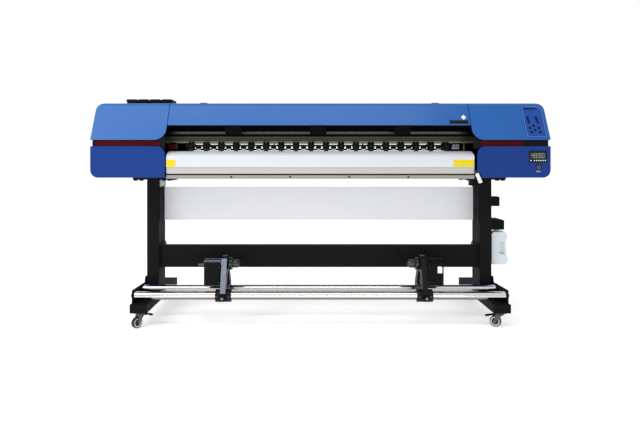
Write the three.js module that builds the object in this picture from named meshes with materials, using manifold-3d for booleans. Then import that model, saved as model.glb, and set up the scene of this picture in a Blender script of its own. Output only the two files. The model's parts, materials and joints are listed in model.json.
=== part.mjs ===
// Roll-to-roll large-format printer cutter on a wheeled stand, with a take-up system under it.
// Millimetres, +Z up, +X to the operator's right, -Y towards the operator.
// The origin is on the floor, under the middle of the machine's bounding box.
import * as THREE from "three";
import { mergeVertices } from "three/addons/utils/BufferGeometryUtils.js";
import Module from "manifold-3d";

const wasm = await Module();
wasm.setup();

// ---------------------------------------------------------------- driving dimensions
const GAP = 0.4; // between pieces that touch
const SHEET = 3; // cover and hood wall
const DATUM = 13; // heights of the stand and body are measured from this far below the floor

// Body: the two end housings and the hood between them
const BODY_HALF_WIDTH = 1338;
const BODY_BOTTOM = 900;
const BODY_TOP = 1345;
const COVER_FRONT = -398;
const COVER_BACK = 398;
const BODY_BACK = 400;
const UPPER_BOTTOM = 1120; // lower edge of the upper covers
const LOWER_TOP = 1083; // upper edge of the lower covers
const UPPER_INNER = { left: 903, right: 889 }; // where the upper covers meet the hood
const LOWER_INNER = { left: 904, right: 912 }; // where the lower covers meet the platen
const FRAME_END = 1296; // inner face of the end frames
const FRONT_SLOPE = 0.4855; // set-back of the sloping front per millimetre of height

// Media path
const PLATEN_TOP = 1056;
const PLATEN = { left: -898, right: 897 };
const PLATEN_FRONT = -392;
const FEED_Y = -262;
const FEED_RADIUS = 15;
const PINCH_RADIUS = 9;
const PINCH_COUNT = 18;
const PINCH_PITCH = 90.7;
const PINCH_MIDDLE = -8;
const PINCH_PIVOT = { y: -215, z: 1092 };

// Carriage drive
const RAIL_FRONT = -250;
const RAIL_BOTTOM = 1160;
const RAIL_TOP = 1175;
const BEAM_FRONT = -236;
const BEAM_BACK = -125;
const BEAM_BOTTOM = 1105;
const BEAM_TOP = 1215;
const DRIVE_Z = 1247;
const PULLEY_X = 1270;
const PULLEY_RADIUS = 15;
const BELT_THICKNESS = 1.6;
const CARRIAGE_X = 1100; // parked over the capping station
const CAP_PIN_Y = -288;

// Stand
const STAND_X = 1066; // middle of each leg and foot
const FOOT_HALF_LENGTH = 375;
const FOOT_BOTTOM = 105;
const FOOT_TOP = 155;
const LEG_FRONT = -70;
const LEG_BACK = 90;
const LEG_HALF_WIDTH = 38;
const LEG_TOP = 878;
const CROSS_BEAM = { bottom: 312, top: 452, front: -50, back: 10 };

// Take-up system
const TUBE_RADIUS = 24;
const TUBE_Z = 195;
const FRONT_TUBE_Y = -314;
const REAR_TUBE_Y = -140;
const CORE_Y = -232;
const CORE_Z = 370;
const TAKEUP_X = { left: -575, right: 622 };
const CHUCK = { largeRadius: 37.5, smallRadius: 25 };

// Casters
const CASTER_Y = 330;
const WHEEL_RADIUS = 32.5;
const TRAIL = 25;
const BRAKE_PIVOT = { y: 28.5, z: 70 };

// ---------------------------------------------------------------- materials
const finish = (color, roughness, metalness) => () =>
  new THREE.MeshStandardMaterial({ color, roughness, metalness });
const BLUE = finish(0x3b74c4, 0.42, 0.1);
const BLACK_PAINT = finish(0x1c1c1d, 0.6, 0.3);
const BLACK_PLASTIC = finish(0x151516, 0.5, 0);
const WHITE_METAL = finish(0xe6e7ea, 0.35, 0.2);
const ALUMINIUM = finish(0xb9b7ae, 0.38, 0.9);
const CHROME = finish(0xdedede, 0.08, 1);
const STEEL = finish(0x9a9a98, 0.35, 0.9);
const RUBBER = finish(0x222222, 0.85, 0);
const WHITE_PLASTIC = finish(0xdfe6ea, 0.45, 0);

// ---------------------------------------------------------------- solids
function solid(geometry) {
  const loose = geometry.index ? geometry.toNonIndexed() : geometry;
  const bare = new THREE.BufferGeometry().setAttribute("position", loose.getAttribute("position"));
  const merged = mergeVertices(bare, 1e-3);
  return new wasm.Manifold(
    new wasm.Mesh({
      numProp: 3,
      vertProperties: merged.attributes.position.array,
      triVerts: new Uint32Array(merged.index.array),
    }),
  );
}

function geometryOf(body) {
  const mesh = body.getMesh();
  const geometry = new THREE.BufferGeometry();
  geometry.setAttribute("position", new THREE.BufferAttribute(mesh.vertProperties, 3));
  geometry.setIndex(new THREE.BufferAttribute(mesh.triVerts, 1));
  geometry.computeVertexNormals();
  return geometry;
}

const join = (...bodies) => bodies.reduce((a, b) => a.add(b));
const cut = (body, ...tools) => tools.reduce((a, b) => a.subtract(b), body);

const box = (x0, x1, y0, y1, z0, z1) =>
  solid(
    new THREE.BoxGeometry(Math.abs(x1 - x0), Math.abs(y1 - y0), Math.abs(z1 - z0)).translate(
      (x0 + x1) / 2,
      (y0 + y1) / 2,
      (z0 + z1) / 2,
    ),
  );

const cylinder = (radius, length, sides) => new THREE.CylinderGeometry(radius, radius, length, sides);
const rodX = (radius, x0, x1, y, z, sides = 20) =>
  solid(cylinder(radius, Math.abs(x1 - x0), sides).rotateZ(Math.PI / 2).translate((x0 + x1) / 2, y, z));
const rodY = (radius, y0, y1, x, z, sides = 20) =>
  solid(cylinder(radius, Math.abs(y1 - y0), sides).translate(x, (y0 + y1) / 2, z));
const rodZ = (radius, z0, z1, x, y, sides = 20) =>
  solid(cylinder(radius, Math.abs(z1 - z0), sides).rotateX(Math.PI / 2).translate(x, y, (z0 + z1) / 2));

// A closed outline from corners [u, v, radius]; a corner with a radius becomes an arc.
function outline(corners, steps = 6) {
  const shape = new THREE.Shape();
  const points = [];
  corners.forEach(([u, v, radius = 0], i) => {
    const here = new THREE.Vector2(u, v);
    if (!radius) {
      points.push(here);
      return;
    }
    const [pu, pv] = corners[(i + corners.length - 1) % corners.length];
    const [nu, nv] = corners[(i + 1) % corners.length];
    const before = new THREE.Vector2(pu - u, pv - v).normalize();
    const after = new THREE.Vector2(nu - u, nv - v).normalize();
    const half = Math.acos(THREE.MathUtils.clamp(before.dot(after), -1, 1)) / 2;
    const middle = before.clone().add(after).normalize();
    const centre = here.clone().addScaledVector(middle, radius / Math.sin(half));
    const start = here.clone().addScaledVector(before, radius / Math.tan(half)).sub(centre);
    const end = here.clone().addScaledVector(after, radius / Math.tan(half)).sub(centre);
    const sweep = Math.atan2(start.cross(end), start.dot(end));
    for (let k = 0; k <= steps; k++)
      points.push(start.clone().rotateAround(new THREE.Vector2(), (sweep * k) / steps).add(centre));
  });
  shape.setFromPoints(points);
  return shape;
}

// Extrusions of an outline in (y, z) along X, and of one in (x, z) along Y.
const Y_Z_ALONG_X = new THREE.Matrix4().makeBasis(
  new THREE.Vector3(0, 1, 0),
  new THREE.Vector3(0, 0, 1),
  new THREE.Vector3(1, 0, 0),
);
const X_Z_ALONG_Y = new THREE.Matrix4().makeBasis(
  new THREE.Vector3(1, 0, 0),
  new THREE.Vector3(0, 0, 1),
  new THREE.Vector3(0, -1, 0),
);
const extrude = (shape, depth) =>
  new THREE.ExtrudeGeometry(shape, { depth, bevelEnabled: false, curveSegments: 12 });
const plateX = (corners, x0, x1, steps) =>
  solid(extrude(outline(corners, steps), x1 - x0).applyMatrix4(Y_Z_ALONG_X).translate(x0, 0, 0));
const plateY = (corners, y0, y1, steps) =>
  solid(extrude(outline(corners, steps), y1 - y0).applyMatrix4(X_Z_ALONG_Y).translate(0, y1, 0));

// A body turned about the X axis from a profile of [x, radius] that starts and ends on the axis.
const turnedX = (profile, sides = 20) =>
  solid(
    new THREE.LatheGeometry(profile.map(([x, radius]) => new THREE.Vector2(radius, x)), sides).rotateZ(-Math.PI / 2),
  );

const machine = new THREE.Group();
function add(parent, name, body, material) {
  const mesh = new THREE.Mesh(geometryOf(body), material());
  mesh.name = name;
  parent.add(mesh);
  return mesh;
}
function group(parent, x, y, z) {
  const made = new THREE.Group();
  made.position.set(x, y, z);
  parent.add(made);
  return made;
}
const works = group(machine, 0, 0, -DATUM); // all but the casters

// ---------------------------------------------------------------- stand
// side is +1 for the right leg, whose outer face looks along +X, and -1 for the left.
function leg(side) {
  const wall = 3;
  const flange = box(-44, 44, LEG_FRONT - 20, LEG_BACK + 20, FOOT_TOP + GAP, FOOT_TOP + 8);
  const post = box(-LEG_HALF_WIDTH, LEG_HALF_WIDTH, LEG_FRONT, LEG_BACK, FOOT_TOP + GAP, LEG_TOP + 1);
  const topPlate = box(-120, 120, LEG_FRONT - 30, LEG_BACK + 30, LEG_TOP, LEG_TOP + 12);
  const spacer = box(-60, 60, LEG_FRONT + 10, LEG_BACK - 10, LEG_TOP + 11, BODY_BOTTOM + 5 - GAP);
  const block = plateX(
    [
      [LEG_FRONT + 6, LEG_TOP - 41, 8],
      [LEG_FRONT, LEG_TOP - 27],
      [LEG_FRONT, LEG_TOP + 1],
      [LEG_FRONT + 70, LEG_TOP + 1],
      [LEG_FRONT + 70, LEG_TOP - 41],
    ],
    -LEG_HALF_WIDTH - 52,
    -LEG_HALF_WIDTH + 1,
    3,
  );
  const hollow = box(
    -LEG_HALF_WIDTH + wall,
    LEG_HALF_WIDTH - wall,
    LEG_FRONT + wall,
    LEG_BACK - wall,
    FOOT_TOP + 8,
    LEG_TOP,
  );
  const cableHole = rodZ(25, LEG_TOP - 5, BODY_BOTTOM + 10, 0, (LEG_FRONT + LEG_BACK) / 2);
  const frame = join(flange, post, topPlate, spacer);
  return cut(side > 0 ? join(frame, block) : frame, hollow, cableHole);
}

function foot(side) {
  const wall = 3.5;
  const outer = 50;
  const inner = 45;
  const beam = box(-outer, outer, -FOOT_HALF_LENGTH, FOOT_HALF_LENGTH, FOOT_BOTTOM, FOOT_TOP);
  const hollow = box(
    -outer + wall,
    outer - wall,
    -FOOT_HALF_LENGTH - 1,
    FOOT_HALF_LENGTH + 1,
    FOOT_BOTTOM + wall,
    FOOT_TOP - wall,
  );
  const sidePlate = plateX(
    [
      [-336, FOOT_TOP - 1],
      [-336, 231, 10],
      [LEG_FRONT - 11, 222],
      [LEG_FRONT, 256],
      [LEG_BACK, 256],
      [LEG_BACK + 11, 222],
      [220, 160],
      [220, FOOT_TOP - 1],
    ],
    side > 0 ? inner : -outer,
    side > 0 ? outer : -inner,
  );
  const socket = (y) => rodX(34, side * 38, side * (inner + 1), y, TUBE_Z, 24);
  const bore = (y) => rodX(TUBE_RADIUS + 0.6, side * 20, side * inner, y, TUBE_Z, 24);
  return cut(
    join(beam, sidePlate, socket(FRONT_TUBE_Y), socket(REAR_TUBE_Y)),
    hollow,
    bore(FRONT_TUBE_Y),
    bore(REAR_TUBE_Y),
  );
}

function crossBeam() {
  const end = STAND_X - LEG_HALF_WIDTH - GAP;
  const { bottom, top, front, back } = CROSS_BEAM;
  const beam = box(-end, end, front, back, bottom, top);
  const hollow = box(-end - 1, end + 1, front + 4, back - 4, bottom + 4, top - 4);
  const flange = (side) =>
    box(side * (end - 6), side * end, LEG_FRONT + 4, LEG_BACK - 4, bottom - 12, top + 12);
  return cut(join(beam, flange(1), flange(-1)), hollow);
}

function mediaGuidePlate() {
  const end = STAND_X - LEG_HALF_WIDTH - GAP;
  const plate = box(-end, end, 58, 61, 605, 823);
  const fold = (z) => box(-end, end, 58, 80, z, z + 3);
  const bracket = (side) => box(side * (end - 4), side * end, LEG_FRONT + 6, 79, 607, 821);
  return join(plate, fold(605), fold(820), bracket(1), bracket(-1));
}

function buildStand() {
  for (const [name, side] of [
    ["left", -1],
    ["right", 1],
  ]) {
    const place = group(works, side * STAND_X, 0, 0);
    add(place, name + "_leg", leg(side), BLACK_PAINT);
    add(place, name + "_foot", foot(side), BLACK_PAINT);
  }
  add(works, "cross_beam", crossBeam(), BLACK_PAINT);
  add(works, "media_guide_plate", mediaGuidePlate(), WHITE_METAL);
}

// ---------------------------------------------------------------- casters
// Local frame: the swivel axis is Z, the floor is z 0, and the wheel trails towards -Y.
function casterFork() {
  const cheekInner = 17;
  const cheekOuter = 20;
  const bridge = 74;
  const bearing = rodZ(23, bridge, FOOT_BOTTOM - DATUM - GAP, 0, 0, 20);
  const deck = box(-cheekOuter, cheekOuter, -23, 21, bridge - 4, bridge + 1);
  const cheek = (side) =>
    plateX(
      [
        [-23, bridge],
        [-TRAIL - 13, WHEEL_RADIUS - 3],
        [-TRAIL - 6, WHEEL_RADIUS - 12, 5],
        [-TRAIL + 9, WHEEL_RADIUS - 11, 5],
        [21, bridge - 14],
        [21, bridge],
      ],
      side > 0 ? cheekInner : -cheekOuter,
      side > 0 ? cheekOuter : -cheekInner,
      3,
    );
  const axle = rodX(4, -cheekOuter - 2, cheekOuter + 2, -TRAIL, WHEEL_RADIUS, 12);
  return join(bearing, deck, cheek(1), cheek(-1), axle);
}

function casterWheel() {
  const sides = 18;
  const tread = WHEEL_RADIUS / Math.cos(Math.PI / sides); // flats of the tread touch the floor
  const wheel = solid(
    new THREE.LatheGeometry(
      [
        [5, -15],
        [11, -15],
        [13, -9],
        [24, -9],
        [26, -12],
        [tread - 2.5, -12],
        [tread, -8],
        [tread, 8],
        [tread - 2.5, 12],
        [26, 12],
        [24, 9],
        [13, 9],
        [11, 15],
        [5, 15],
        [5, -15],
      ].map(([radius, x]) => new THREE.Vector2(radius, x)),
      sides,
    )
      .rotateY(Math.PI / sides)
      .rotateZ(-Math.PI / 2),
  );
  return wheel;
}

// Foot pedal over the wheel (towards -Y) or on the far side of the fork (towards +Y).
function casterBrake(towards) {
  const arm = [
    [23.5, 66.5],
    [23.5, 73.5],
    [45, 71.5],
    [82, 62],
    [80, 57],
    [42, 65.5],
  ].map(([y, z]) => [towards * y, z]);
  return join(
    plateX(towards > 0 ? arm : arm.reverse(), -16, 16),
    rodX(4, -16, 16, towards * BRAKE_PIVOT.y, BRAKE_PIVOT.z, 12),
  );
}

function buildCasters() {
  const casters = [
    { name: "front_left", x: -STAND_X, y: -CASTER_Y, turn: -36, brake: 1 },
    { name: "front_right", x: STAND_X, y: -CASTER_Y, turn: -122, brake: -1 },
    { name: "rear_left", x: -STAND_X, y: CASTER_Y, turn: -70, brake: 0 },
    { name: "rear_right", x: STAND_X, y: CASTER_Y, turn: 60, brake: 0 },
  ];
  for (const { name, x, y, turn, brake } of casters) {
    const swivel = group(machine, x, y, 0);
    swivel.rotation.z = THREE.MathUtils.degToRad(turn);
    add(swivel, "caster_fork_" + name, casterFork(), STEEL);
    const hub = group(swivel, 0, -TRAIL, WHEEL_RADIUS);
    add(hub, "caster_wheel_" + name, casterWheel(), RUBBER);
    if (brake) add(swivel, "caster_brake_" + name, casterBrake(brake), BLACK_PLASTIC);
  }
}

// ---------------------------------------------------------------- body covers
const slopeY = (z) => COVER_FRONT + (z - UPPER_BOTTOM) * FRONT_SLOPE;
const slopeInset = (thickness) => thickness * Math.hypot(1, FRONT_SLOPE);

// Side view of the upper covers and hood, set in by a wall thickness.
const upperProfile = (inset, bottom) => [
  [slopeY(bottom) + slopeInset(inset), bottom],
  [slopeY(BODY_TOP - inset) + slopeInset(inset), BODY_TOP - inset, 36 - inset],
  [COVER_BACK - inset, BODY_TOP - inset, 14 - inset],
  [COVER_BACK - inset, bottom],
];

function upperCover(side) {
  const at = (x) => side * x;
  const meets = side > 0 ? UPPER_INNER.right : UPPER_INNER.left;
  const span = (x0, x1) => [Math.min(at(x0), at(x1)), Math.max(at(x0), at(x1))];
  const outerFront = [
    [at(BODY_HALF_WIDTH), UPPER_BOTTOM],
    [at(BODY_HALF_WIDTH), BODY_TOP, 46],
    [at(meets), BODY_TOP],
    [at(meets), UPPER_BOTTOM, 64],
  ];
  const innerFront = [
    [at(BODY_HALF_WIDTH - SHEET), UPPER_BOTTOM - 5],
    [at(BODY_HALF_WIDTH - SHEET), BODY_TOP - SHEET, 43],
    [at(meets - 5), BODY_TOP - SHEET],
    [at(meets - 5), UPPER_BOTTOM - 5],
  ];
  const outer = plateX(upperProfile(0, UPPER_BOTTOM), ...span(meets, BODY_HALF_WIDTH)).intersect(
    plateY(outerFront, COVER_FRONT - 5, COVER_BACK + 5),
  );
  const inner = plateX(
    upperProfile(SHEET, UPPER_BOTTOM - 5),
    ...span(meets - 5, BODY_HALF_WIDTH - SHEET),
  ).intersect(plateY(innerFront, COVER_FRONT - 5, COVER_BACK + 5));
  return cut(outer, inner);
}

const BUTTON = { x: 1267, z: 961, radius: 14 };

function lowerCover(side) {
  const at = (x) => side * x;
  const meets = side > 0 ? LOWER_INNER.right : LOWER_INNER.left;
  const leverNotch = side > 0 ? 38 : 0;
  const innerBottom = leverNotch
    ? [
        [at(meets), BODY_BOTTOM + leverNotch],
        [at(meets + leverNotch), BODY_BOTTOM],
      ]
    : [[at(meets), BODY_BOTTOM]];
  const outer = plateY(
    [
      [at(BODY_HALF_WIDTH), LOWER_TOP],
      [at(meets), LOWER_TOP, 46],
      ...innerBottom,
      [at(BODY_HALF_WIDTH), BODY_BOTTOM, 44],
    ],
    COVER_FRONT,
    COVER_BACK,
  );
  const inner = plateY(
    [
      [at(BODY_HALF_WIDTH - SHEET), LOWER_TOP + 5],
      [at(meets - 5), LOWER_TOP + 5],
      [at(meets - 5), BODY_BOTTOM + SHEET],
      [at(BODY_HALF_WIDTH - SHEET), BODY_BOTTOM + SHEET, 41],
    ],
    COVER_FRONT + SHEET,
    COVER_BACK - SHEET,
  );
  const legHole = box(
    at(STAND_X - 64),
    at(STAND_X + 64),
    LEG_FRONT + 6,
    LEG_BACK - 6,
    BODY_BOTTOM - 5,
    BODY_BOTTOM + 10,
  );
  const buttonHole = rodY(BUTTON.radius + 0.8, COVER_FRONT - 5, COVER_FRONT + 10, BUTTON.x, BUTTON.z, 24);
  const shell = cut(outer, inner, legHole);
  return side > 0 ? cut(shell, buttonHole) : shell;
}

// End frame: a plate inside the covers, and a bent band that fills the recess between them.
function endFrame(side) {
  const span = (x0, x1) => (side > 0 ? [x0, x1] : [-x1, -x0]);
  const meets = side > 0 ? UPPER_INNER.right : UPPER_INNER.left;
  const front = COVER_FRONT + 11;
  const back = COVER_BACK - 11;
  const outer = BODY_HALF_WIDTH - 9;
  const wall = 4;
  const bottom = LOWER_TOP - 14;
  const top = UPPER_BOTTOM + 14;
  const plate = plateX(
    [
      [front, bottom],
      [front, UPPER_BOTTOM],
      [slopeY(BODY_TOP - 50) + 22, BODY_TOP - 50],
      [back - 30, BODY_TOP - 50],
      [back, UPPER_BOTTOM],
      [back, bottom],
      [130, 912],
      [-310, 912],
    ],
    ...span(FRAME_END, FRAME_END + 6),
  );
  const band = (y0, y1) => box(...span(meets + 2, outer), y0, y1, bottom, top);
  const end = box(...span(outer - wall, outer), front, back, bottom, top);
  const web = box(...span(FRAME_END + 5, outer - 1), front + 1, back - 1, top - 12, top - 8);
  return join(plate, band(front, front + wall), band(back - wall, back), end, web);
}

// Hinge axis of the hood, on top of the body.
const HINGE = { y: -118, z: 1355, x: 731, radius: 9 };

function hinge(side, x0, x1, towards) {
  const barrel = rodX(HINGE.radius, side * x0, side * x1, HINGE.y, HINGE.z, 16);
  const leaf = box(side * x0, side * x1, HINGE.y, HINGE.y + towards * 34, BODY_TOP - 1, BODY_TOP + 5);
  const clearance = rodX(HINGE.radius - 1, side * (x0 - 1), side * (x1 + 1), HINGE.y, HINGE.z, 16);
  return join(barrel, cut(leaf, clearance));
}

function frontHood() {
  const left = 3.5 - UPPER_INNER.left;
  const right = UPPER_INNER.right - 3.5;
  const bottom = 1208;
  const back = HINGE.y - 5;
  const outer = [
    [slopeY(bottom), bottom],
    [slopeY(BODY_TOP), BODY_TOP, 36],
    [back, BODY_TOP],
    [back, bottom],
  ];
  const inner = [
    [slopeY(bottom) + slopeInset(SHEET), bottom + SHEET],
    [slopeY(BODY_TOP - SHEET) + slopeInset(SHEET), BODY_TOP - SHEET, 33],
    [back + 5, BODY_TOP - SHEET],
    [back + 5, bottom - 5],
    [slopeY(bottom) + 16, bottom - 5],
    [slopeY(bottom) + 16, bottom + SHEET],
  ];
  const shell = cut(plateX(outer, left, right), plateX(inner, left - 1, right + 1));
  return join(shell, hinge(1, HINGE.x - 10, HINGE.x + 10, -1), hinge(-1, HINGE.x - 10, HINGE.x + 10, -1));
}

function rearCover() {
  const left = 1.5 - UPPER_INNER.left;
  const right = UPPER_INNER.right - 1.5;
  const front = HINGE.y + 5;
  const bottom = 1120;
  const outer = [
    [front, BODY_TOP],
    [BODY_BACK, BODY_TOP, 16],
    [BODY_BACK, bottom],
    [front, bottom],
  ];
  const inner = [
    [front - 5, BODY_TOP - SHEET],
    [BODY_BACK - SHEET, BODY_TOP - SHEET, 13],
    [BODY_BACK - SHEET, bottom - 5],
    [front - 5, bottom - 5],
  ];
  const shell = cut(plateX(outer, left, right), plateX(inner, left - 1, right + 1));
  const knuckles = [1, -1].flatMap((side) => [
    hinge(side, HINGE.x - 22, HINGE.x - 10.6, 1),
    hinge(side, HINGE.x + 10.6, HINGE.x + 22, 1),
  ]);
  return join(shell, ...knuckles);
}

// Snap-in keypad on the sloping face of the right cover, and the heater display under it.
const KEYPAD = { x: 1262, z: 1230, width: 121, length: 212, thickness: 1.8 };
const DISPLAY = { x0: 1211.5, x1: 1315.5, z0: 987.5, z1: 1056.5 };

function keypadPanel() {
  const { width, length, thickness } = KEYPAD;
  return plateY(
    [
      [-width / 2, -length / 2, 24],
      [width / 2, -length / 2, 4],
      [width / 2, length / 2, 30],
      [-width / 2, length / 2, 4],
    ],
    -thickness,
    0,
    5,
  );
}

function buildCovers() {
  for (const [name, side] of [
    ["left", -1],
    ["right", 1],
  ]) {
    add(works, name + "_upper_cover", upperCover(side), BLUE);
    add(works, name + "_lower_cover", lowerCover(side), BLUE);
    add(works, name + "_end_frame", endFrame(side), BLACK_PAINT);
  }
  add(works, "front_hood", frontHood(), BLUE);
  add(works, "rear_cover", rearCover(), BLUE);

  const slope = group(works, KEYPAD.x, slopeY(KEYPAD.z), KEYPAD.z);
  slope.rotation.x = -Math.atan(FRONT_SLOPE);
  const keypad = add(slope, "keypad_panel", keypadPanel(), BLUE);
  keypad.position.y = -GAP;

  const { x0, x1, z0, z1 } = DISPLAY;
  add(works, "display_panel", box(x0, x1, -BODY_BACK, COVER_FRONT - 0.3, z0, z1), BLACK_PLASTIC);
  const button = join(
    rodY(BUTTON.radius, -BODY_BACK, COVER_FRONT + 14, 0, 0, 24),
    rodY(BUTTON.radius + 4, COVER_FRONT + SHEET + GAP, COVER_FRONT + 8, 0, 0, 24),
  );
  add(group(works, BUTTON.x, 0, BUTTON.z), "power_button", button, STEEL);
}

// ---------------------------------------------------------------- frame and media path
function baseBeam() {
  const end = FRAME_END - GAP;
  const front = -300;
  const back = 120;
  const bottom = BODY_BOTTOM + 5;
  const top = 1005;
  const beam = cut(
    box(-end, end, front, back, bottom, top),
    box(-end - 1, end + 1, front + 5, back - 5, bottom + 5, top - 5),
  );
  const feedBearing = (x) =>
    cut(
      box(x - 5, x + 5, FEED_Y - 18, FEED_Y + 18, top - 2, 1058),
      rodX(8.5, x - 8, x + 8, FEED_Y, PLATEN_TOP - FEED_RADIUS, 20),
    );
  const platenRest = (x) => box(x - 4, x + 4, front, front + 15, top - 2, PLATEN_TOP - 4 - GAP);
  const leverLug = cut(
    box(906, 911, -366, front + 2, 925, 975),
    rodX(5.6, 900, 915, LEVER.y, LEVER.z, 16),
  );
  const rests = [-750, -375, 0, 375, 750].map(platenRest);
  const pinHole = (x) => rodZ(4.6, top - 10, top + 5, CARRIAGE_X + x, CAP_PIN_Y, 16);
  const bored = cut(beam, pinHole(-80), pinHole(80));
  return join(bored, feedBearing(PLATEN.left - 3), feedBearing(PLATEN.right + 3), leverLug, ...rests);
}

// Aluminium beam that carries the rail, with hangers for the pinch shaft and a post for the belt's idle end.
function gantryBeam() {
  const end = FRAME_END - GAP;
  const wall = 6;
  const beam = cut(
    box(-end, end, BEAM_FRONT, BEAM_BACK, BEAM_BOTTOM, BEAM_TOP),
    box(-end - 1, end + 1, BEAM_FRONT + wall, BEAM_BACK - wall, BEAM_BOTTOM + wall, BEAM_TOP - wall),
  );
  const hanger = (x) =>
    cut(
      box(x - 3, x + 3, PINCH_PIVOT.y - 11, PINCH_PIVOT.y + 11, PINCH_PIVOT.z - 11, BEAM_BOTTOM + 1),
      rodX(5.6, x - 4, x + 4, PINCH_PIVOT.y, PINCH_PIVOT.z, 16),
    );
  const idlerArm = box(-PULLEY_X - 20, -PULLEY_X + 20, BEAM_FRONT, BEAM_FRONT + 8, BEAM_TOP - 1, DRIVE_Z + 16);
  const idler = rodY(PULLEY_RADIUS - 0.3, -250, BEAM_FRONT + 4, -PULLEY_X, DRIVE_Z, 20);
  const hangers = [-9, -3, 3, 9].map((pitches) => hanger(PINCH_MIDDLE + pitches * PINCH_PITCH));
  return join(beam, ...hangers, idlerArm, idler);
}

// The platen's front runs down in a quarter of an ellipse.
function platenNose(inset) {
  const depth = 95;
  const height = 46;
  const steps = 10;
  return Array.from({ length: steps + 1 }, (_, k) => {
    const turn = (k / steps) * (Math.PI / 2);
    return [
      PLATEN_FRONT + depth - (depth - inset) * Math.sin(turn),
      PLATEN_TOP - height + (height - inset) * Math.cos(turn),
    ];
  });
}

function printPlaten() {
  const { left, right } = PLATEN;
  const wall = 4;
  const back = FEED_Y - FEED_RADIUS - 4;
  const front = PLATEN_FRONT;
  const outer = [
    [back, PLATEN_TOP],
    ...platenNose(0),
    [front, 962],
    [front + 3, 958],
    [front + 6, 923],
    [back, 923],
  ];
  const inner = [
    [back + 5, PLATEN_TOP - wall],
    ...platenNose(wall),
    [front + wall, 962],
    [front + 8, 956],
    [front + 10, 927],
    [front + 26, 927],
    [front + 26, 915],
    [back + 5, 915],
  ];
  return cut(plateX(outer, left, right), plateX(inner, left - 1, right + 1));
}

function platenApron() {
  const profile = [
    [PLATEN_FRONT + 6, 893],
    [PLATEN_FRONT + 6, 914],
    [PLATEN_FRONT + 12, 919],
    [-300.4, 919],
    [-300.4, 914],
    [PLATEN_FRONT + 16, 914],
    [PLATEN_FRONT + 14, 910],
    [PLATEN_FRONT + 14, 893],
  ];
  return plateX(profile, PLATEN.left - 1, PLATEN.right + 1);
}

function rearPlaten() {
  const { left, right } = PLATEN;
  const front = FEED_Y + FEED_RADIUS + 4;
  const outer = [
    [front, PLATEN_TOP],
    [360, PLATEN_TOP, 110],
    [360, 930],
    [front, 930],
  ];
  const inner = [
    [front - 5, PLATEN_TOP - 4],
    [356, PLATEN_TOP - 4, 106],
    [356, 920],
    [front - 5, 920],
  ];
  return cut(plateX(outer, left, right, 8), plateX(inner, left - 1, right + 1, 8));
}

function feedRoller() {
  const left = PLATEN.left + 5;
  const right = PLATEN.right - 5;
  return turnedX([
    [left - 14, 0],
    [left - 14, 8],
    [left, 8],
    [left, FEED_RADIUS],
    [right, FEED_RADIUS],
    [right, 8],
    [right + 14, 8],
    [right + 14, 0],
  ]);
}

const pinchX = (i) => PINCH_MIDDLE + (i - (PINCH_COUNT - 1) / 2) * PINCH_PITCH;
const PINCH_AXLE_Z = PLATEN_TOP + 0.6 + PINCH_RADIUS;

function pinchArms() {
  const { y, z } = PINCH_PIVOT;
  const shaft = rodX(5, pinchX(-0.5), pinchX(PINCH_COUNT - 0.5), y, z, 12);
  const side = [
    [y + 8, z - 7],
    [y + 8, z + 8],
    [FEED_Y + 12, z + 9],
    [FEED_Y + 6, z + 12],
    [FEED_Y - 6, z + 12],
    [FEED_Y - 10, z + 2],
    [FEED_Y - 10, PINCH_AXLE_Z - 3],
    [FEED_Y + 4, PINCH_AXLE_Z - 6],
    [FEED_Y + 14, PINCH_AXLE_Z + 8],
  ];
  const slotTop = PINCH_AXLE_Z + PINCH_RADIUS + 1.5;
  const arms = Array.from({ length: PINCH_COUNT }, (_, i) => {
    const x = pinchX(i);
    const block = plateX(side, x - 19, x + 19);
    const rollerSlot = box(x - 14.5, x + 14.5, FEED_Y - 20, FEED_Y + PINCH_RADIUS + 2, PINCH_AXLE_Z - 20, slotTop);
    return cut(block, rollerSlot);
  });
  const axleHole = rodX(3.4, -900, 900, FEED_Y, PINCH_AXLE_Z, 8);
  return join(shaft, ...arms.map((arm) => cut(arm, axleHole)));
}

// The idler rollers turn on one common axle.
function pinchRollers() {
  const profile = [[pinchX(0) - 22, 0], [pinchX(0) - 22, 2.5]];
  for (let i = 0; i < PINCH_COUNT; i++) {
    const x = pinchX(i);
    profile.push([x - 13, 2.5], [x - 13, PINCH_RADIUS], [x + 13, PINCH_RADIUS], [x + 13, 2.5]);
  }
  profile.push([pinchX(PINCH_COUNT - 1) + 22, 2.5], [pinchX(PINCH_COUNT - 1) + 22, 0]);
  return turnedX(profile, 10);
}

// Lever at the right end of the platen that lifts the pinch rollers.
const LEVER = { y: -345, z: 950 };
const HANDLE = { top: [911, -390, 925], bottom: [934, -390, 871], radius: 9 };

function pinchLever() {
  const boss = rodX(13, 899, 905.4, 0, 0, 16).add(rodX(5, 899, 916, 0, 0, 16));
  const arm = plateX(
    [
      [-10, -11],
      [-8, 9],
      [12, 0],
      [5, -12],
      [-40, -36],
      [-54, -26],
      [-54, -10],
    ],
    899,
    904.5,
  );
  const top = new THREE.Vector3(...HANDLE.top);
  const bottom = new THREE.Vector3(...HANDLE.bottom);
  const along = bottom.clone().sub(top);
  const turn = new THREE.Quaternion().setFromUnitVectors(new THREE.Vector3(0, 1, 0), along.clone().normalize());
  const middle = top.clone().add(bottom).multiplyScalar(0.5);
  const grip = solid(
    cylinder(HANDLE.radius, along.length(), 16)
      .applyQuaternion(turn)
      .translate(middle.x, middle.y - LEVER.y, middle.z - LEVER.z),
  );
  return join(boss, arm, grip);
}

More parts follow.
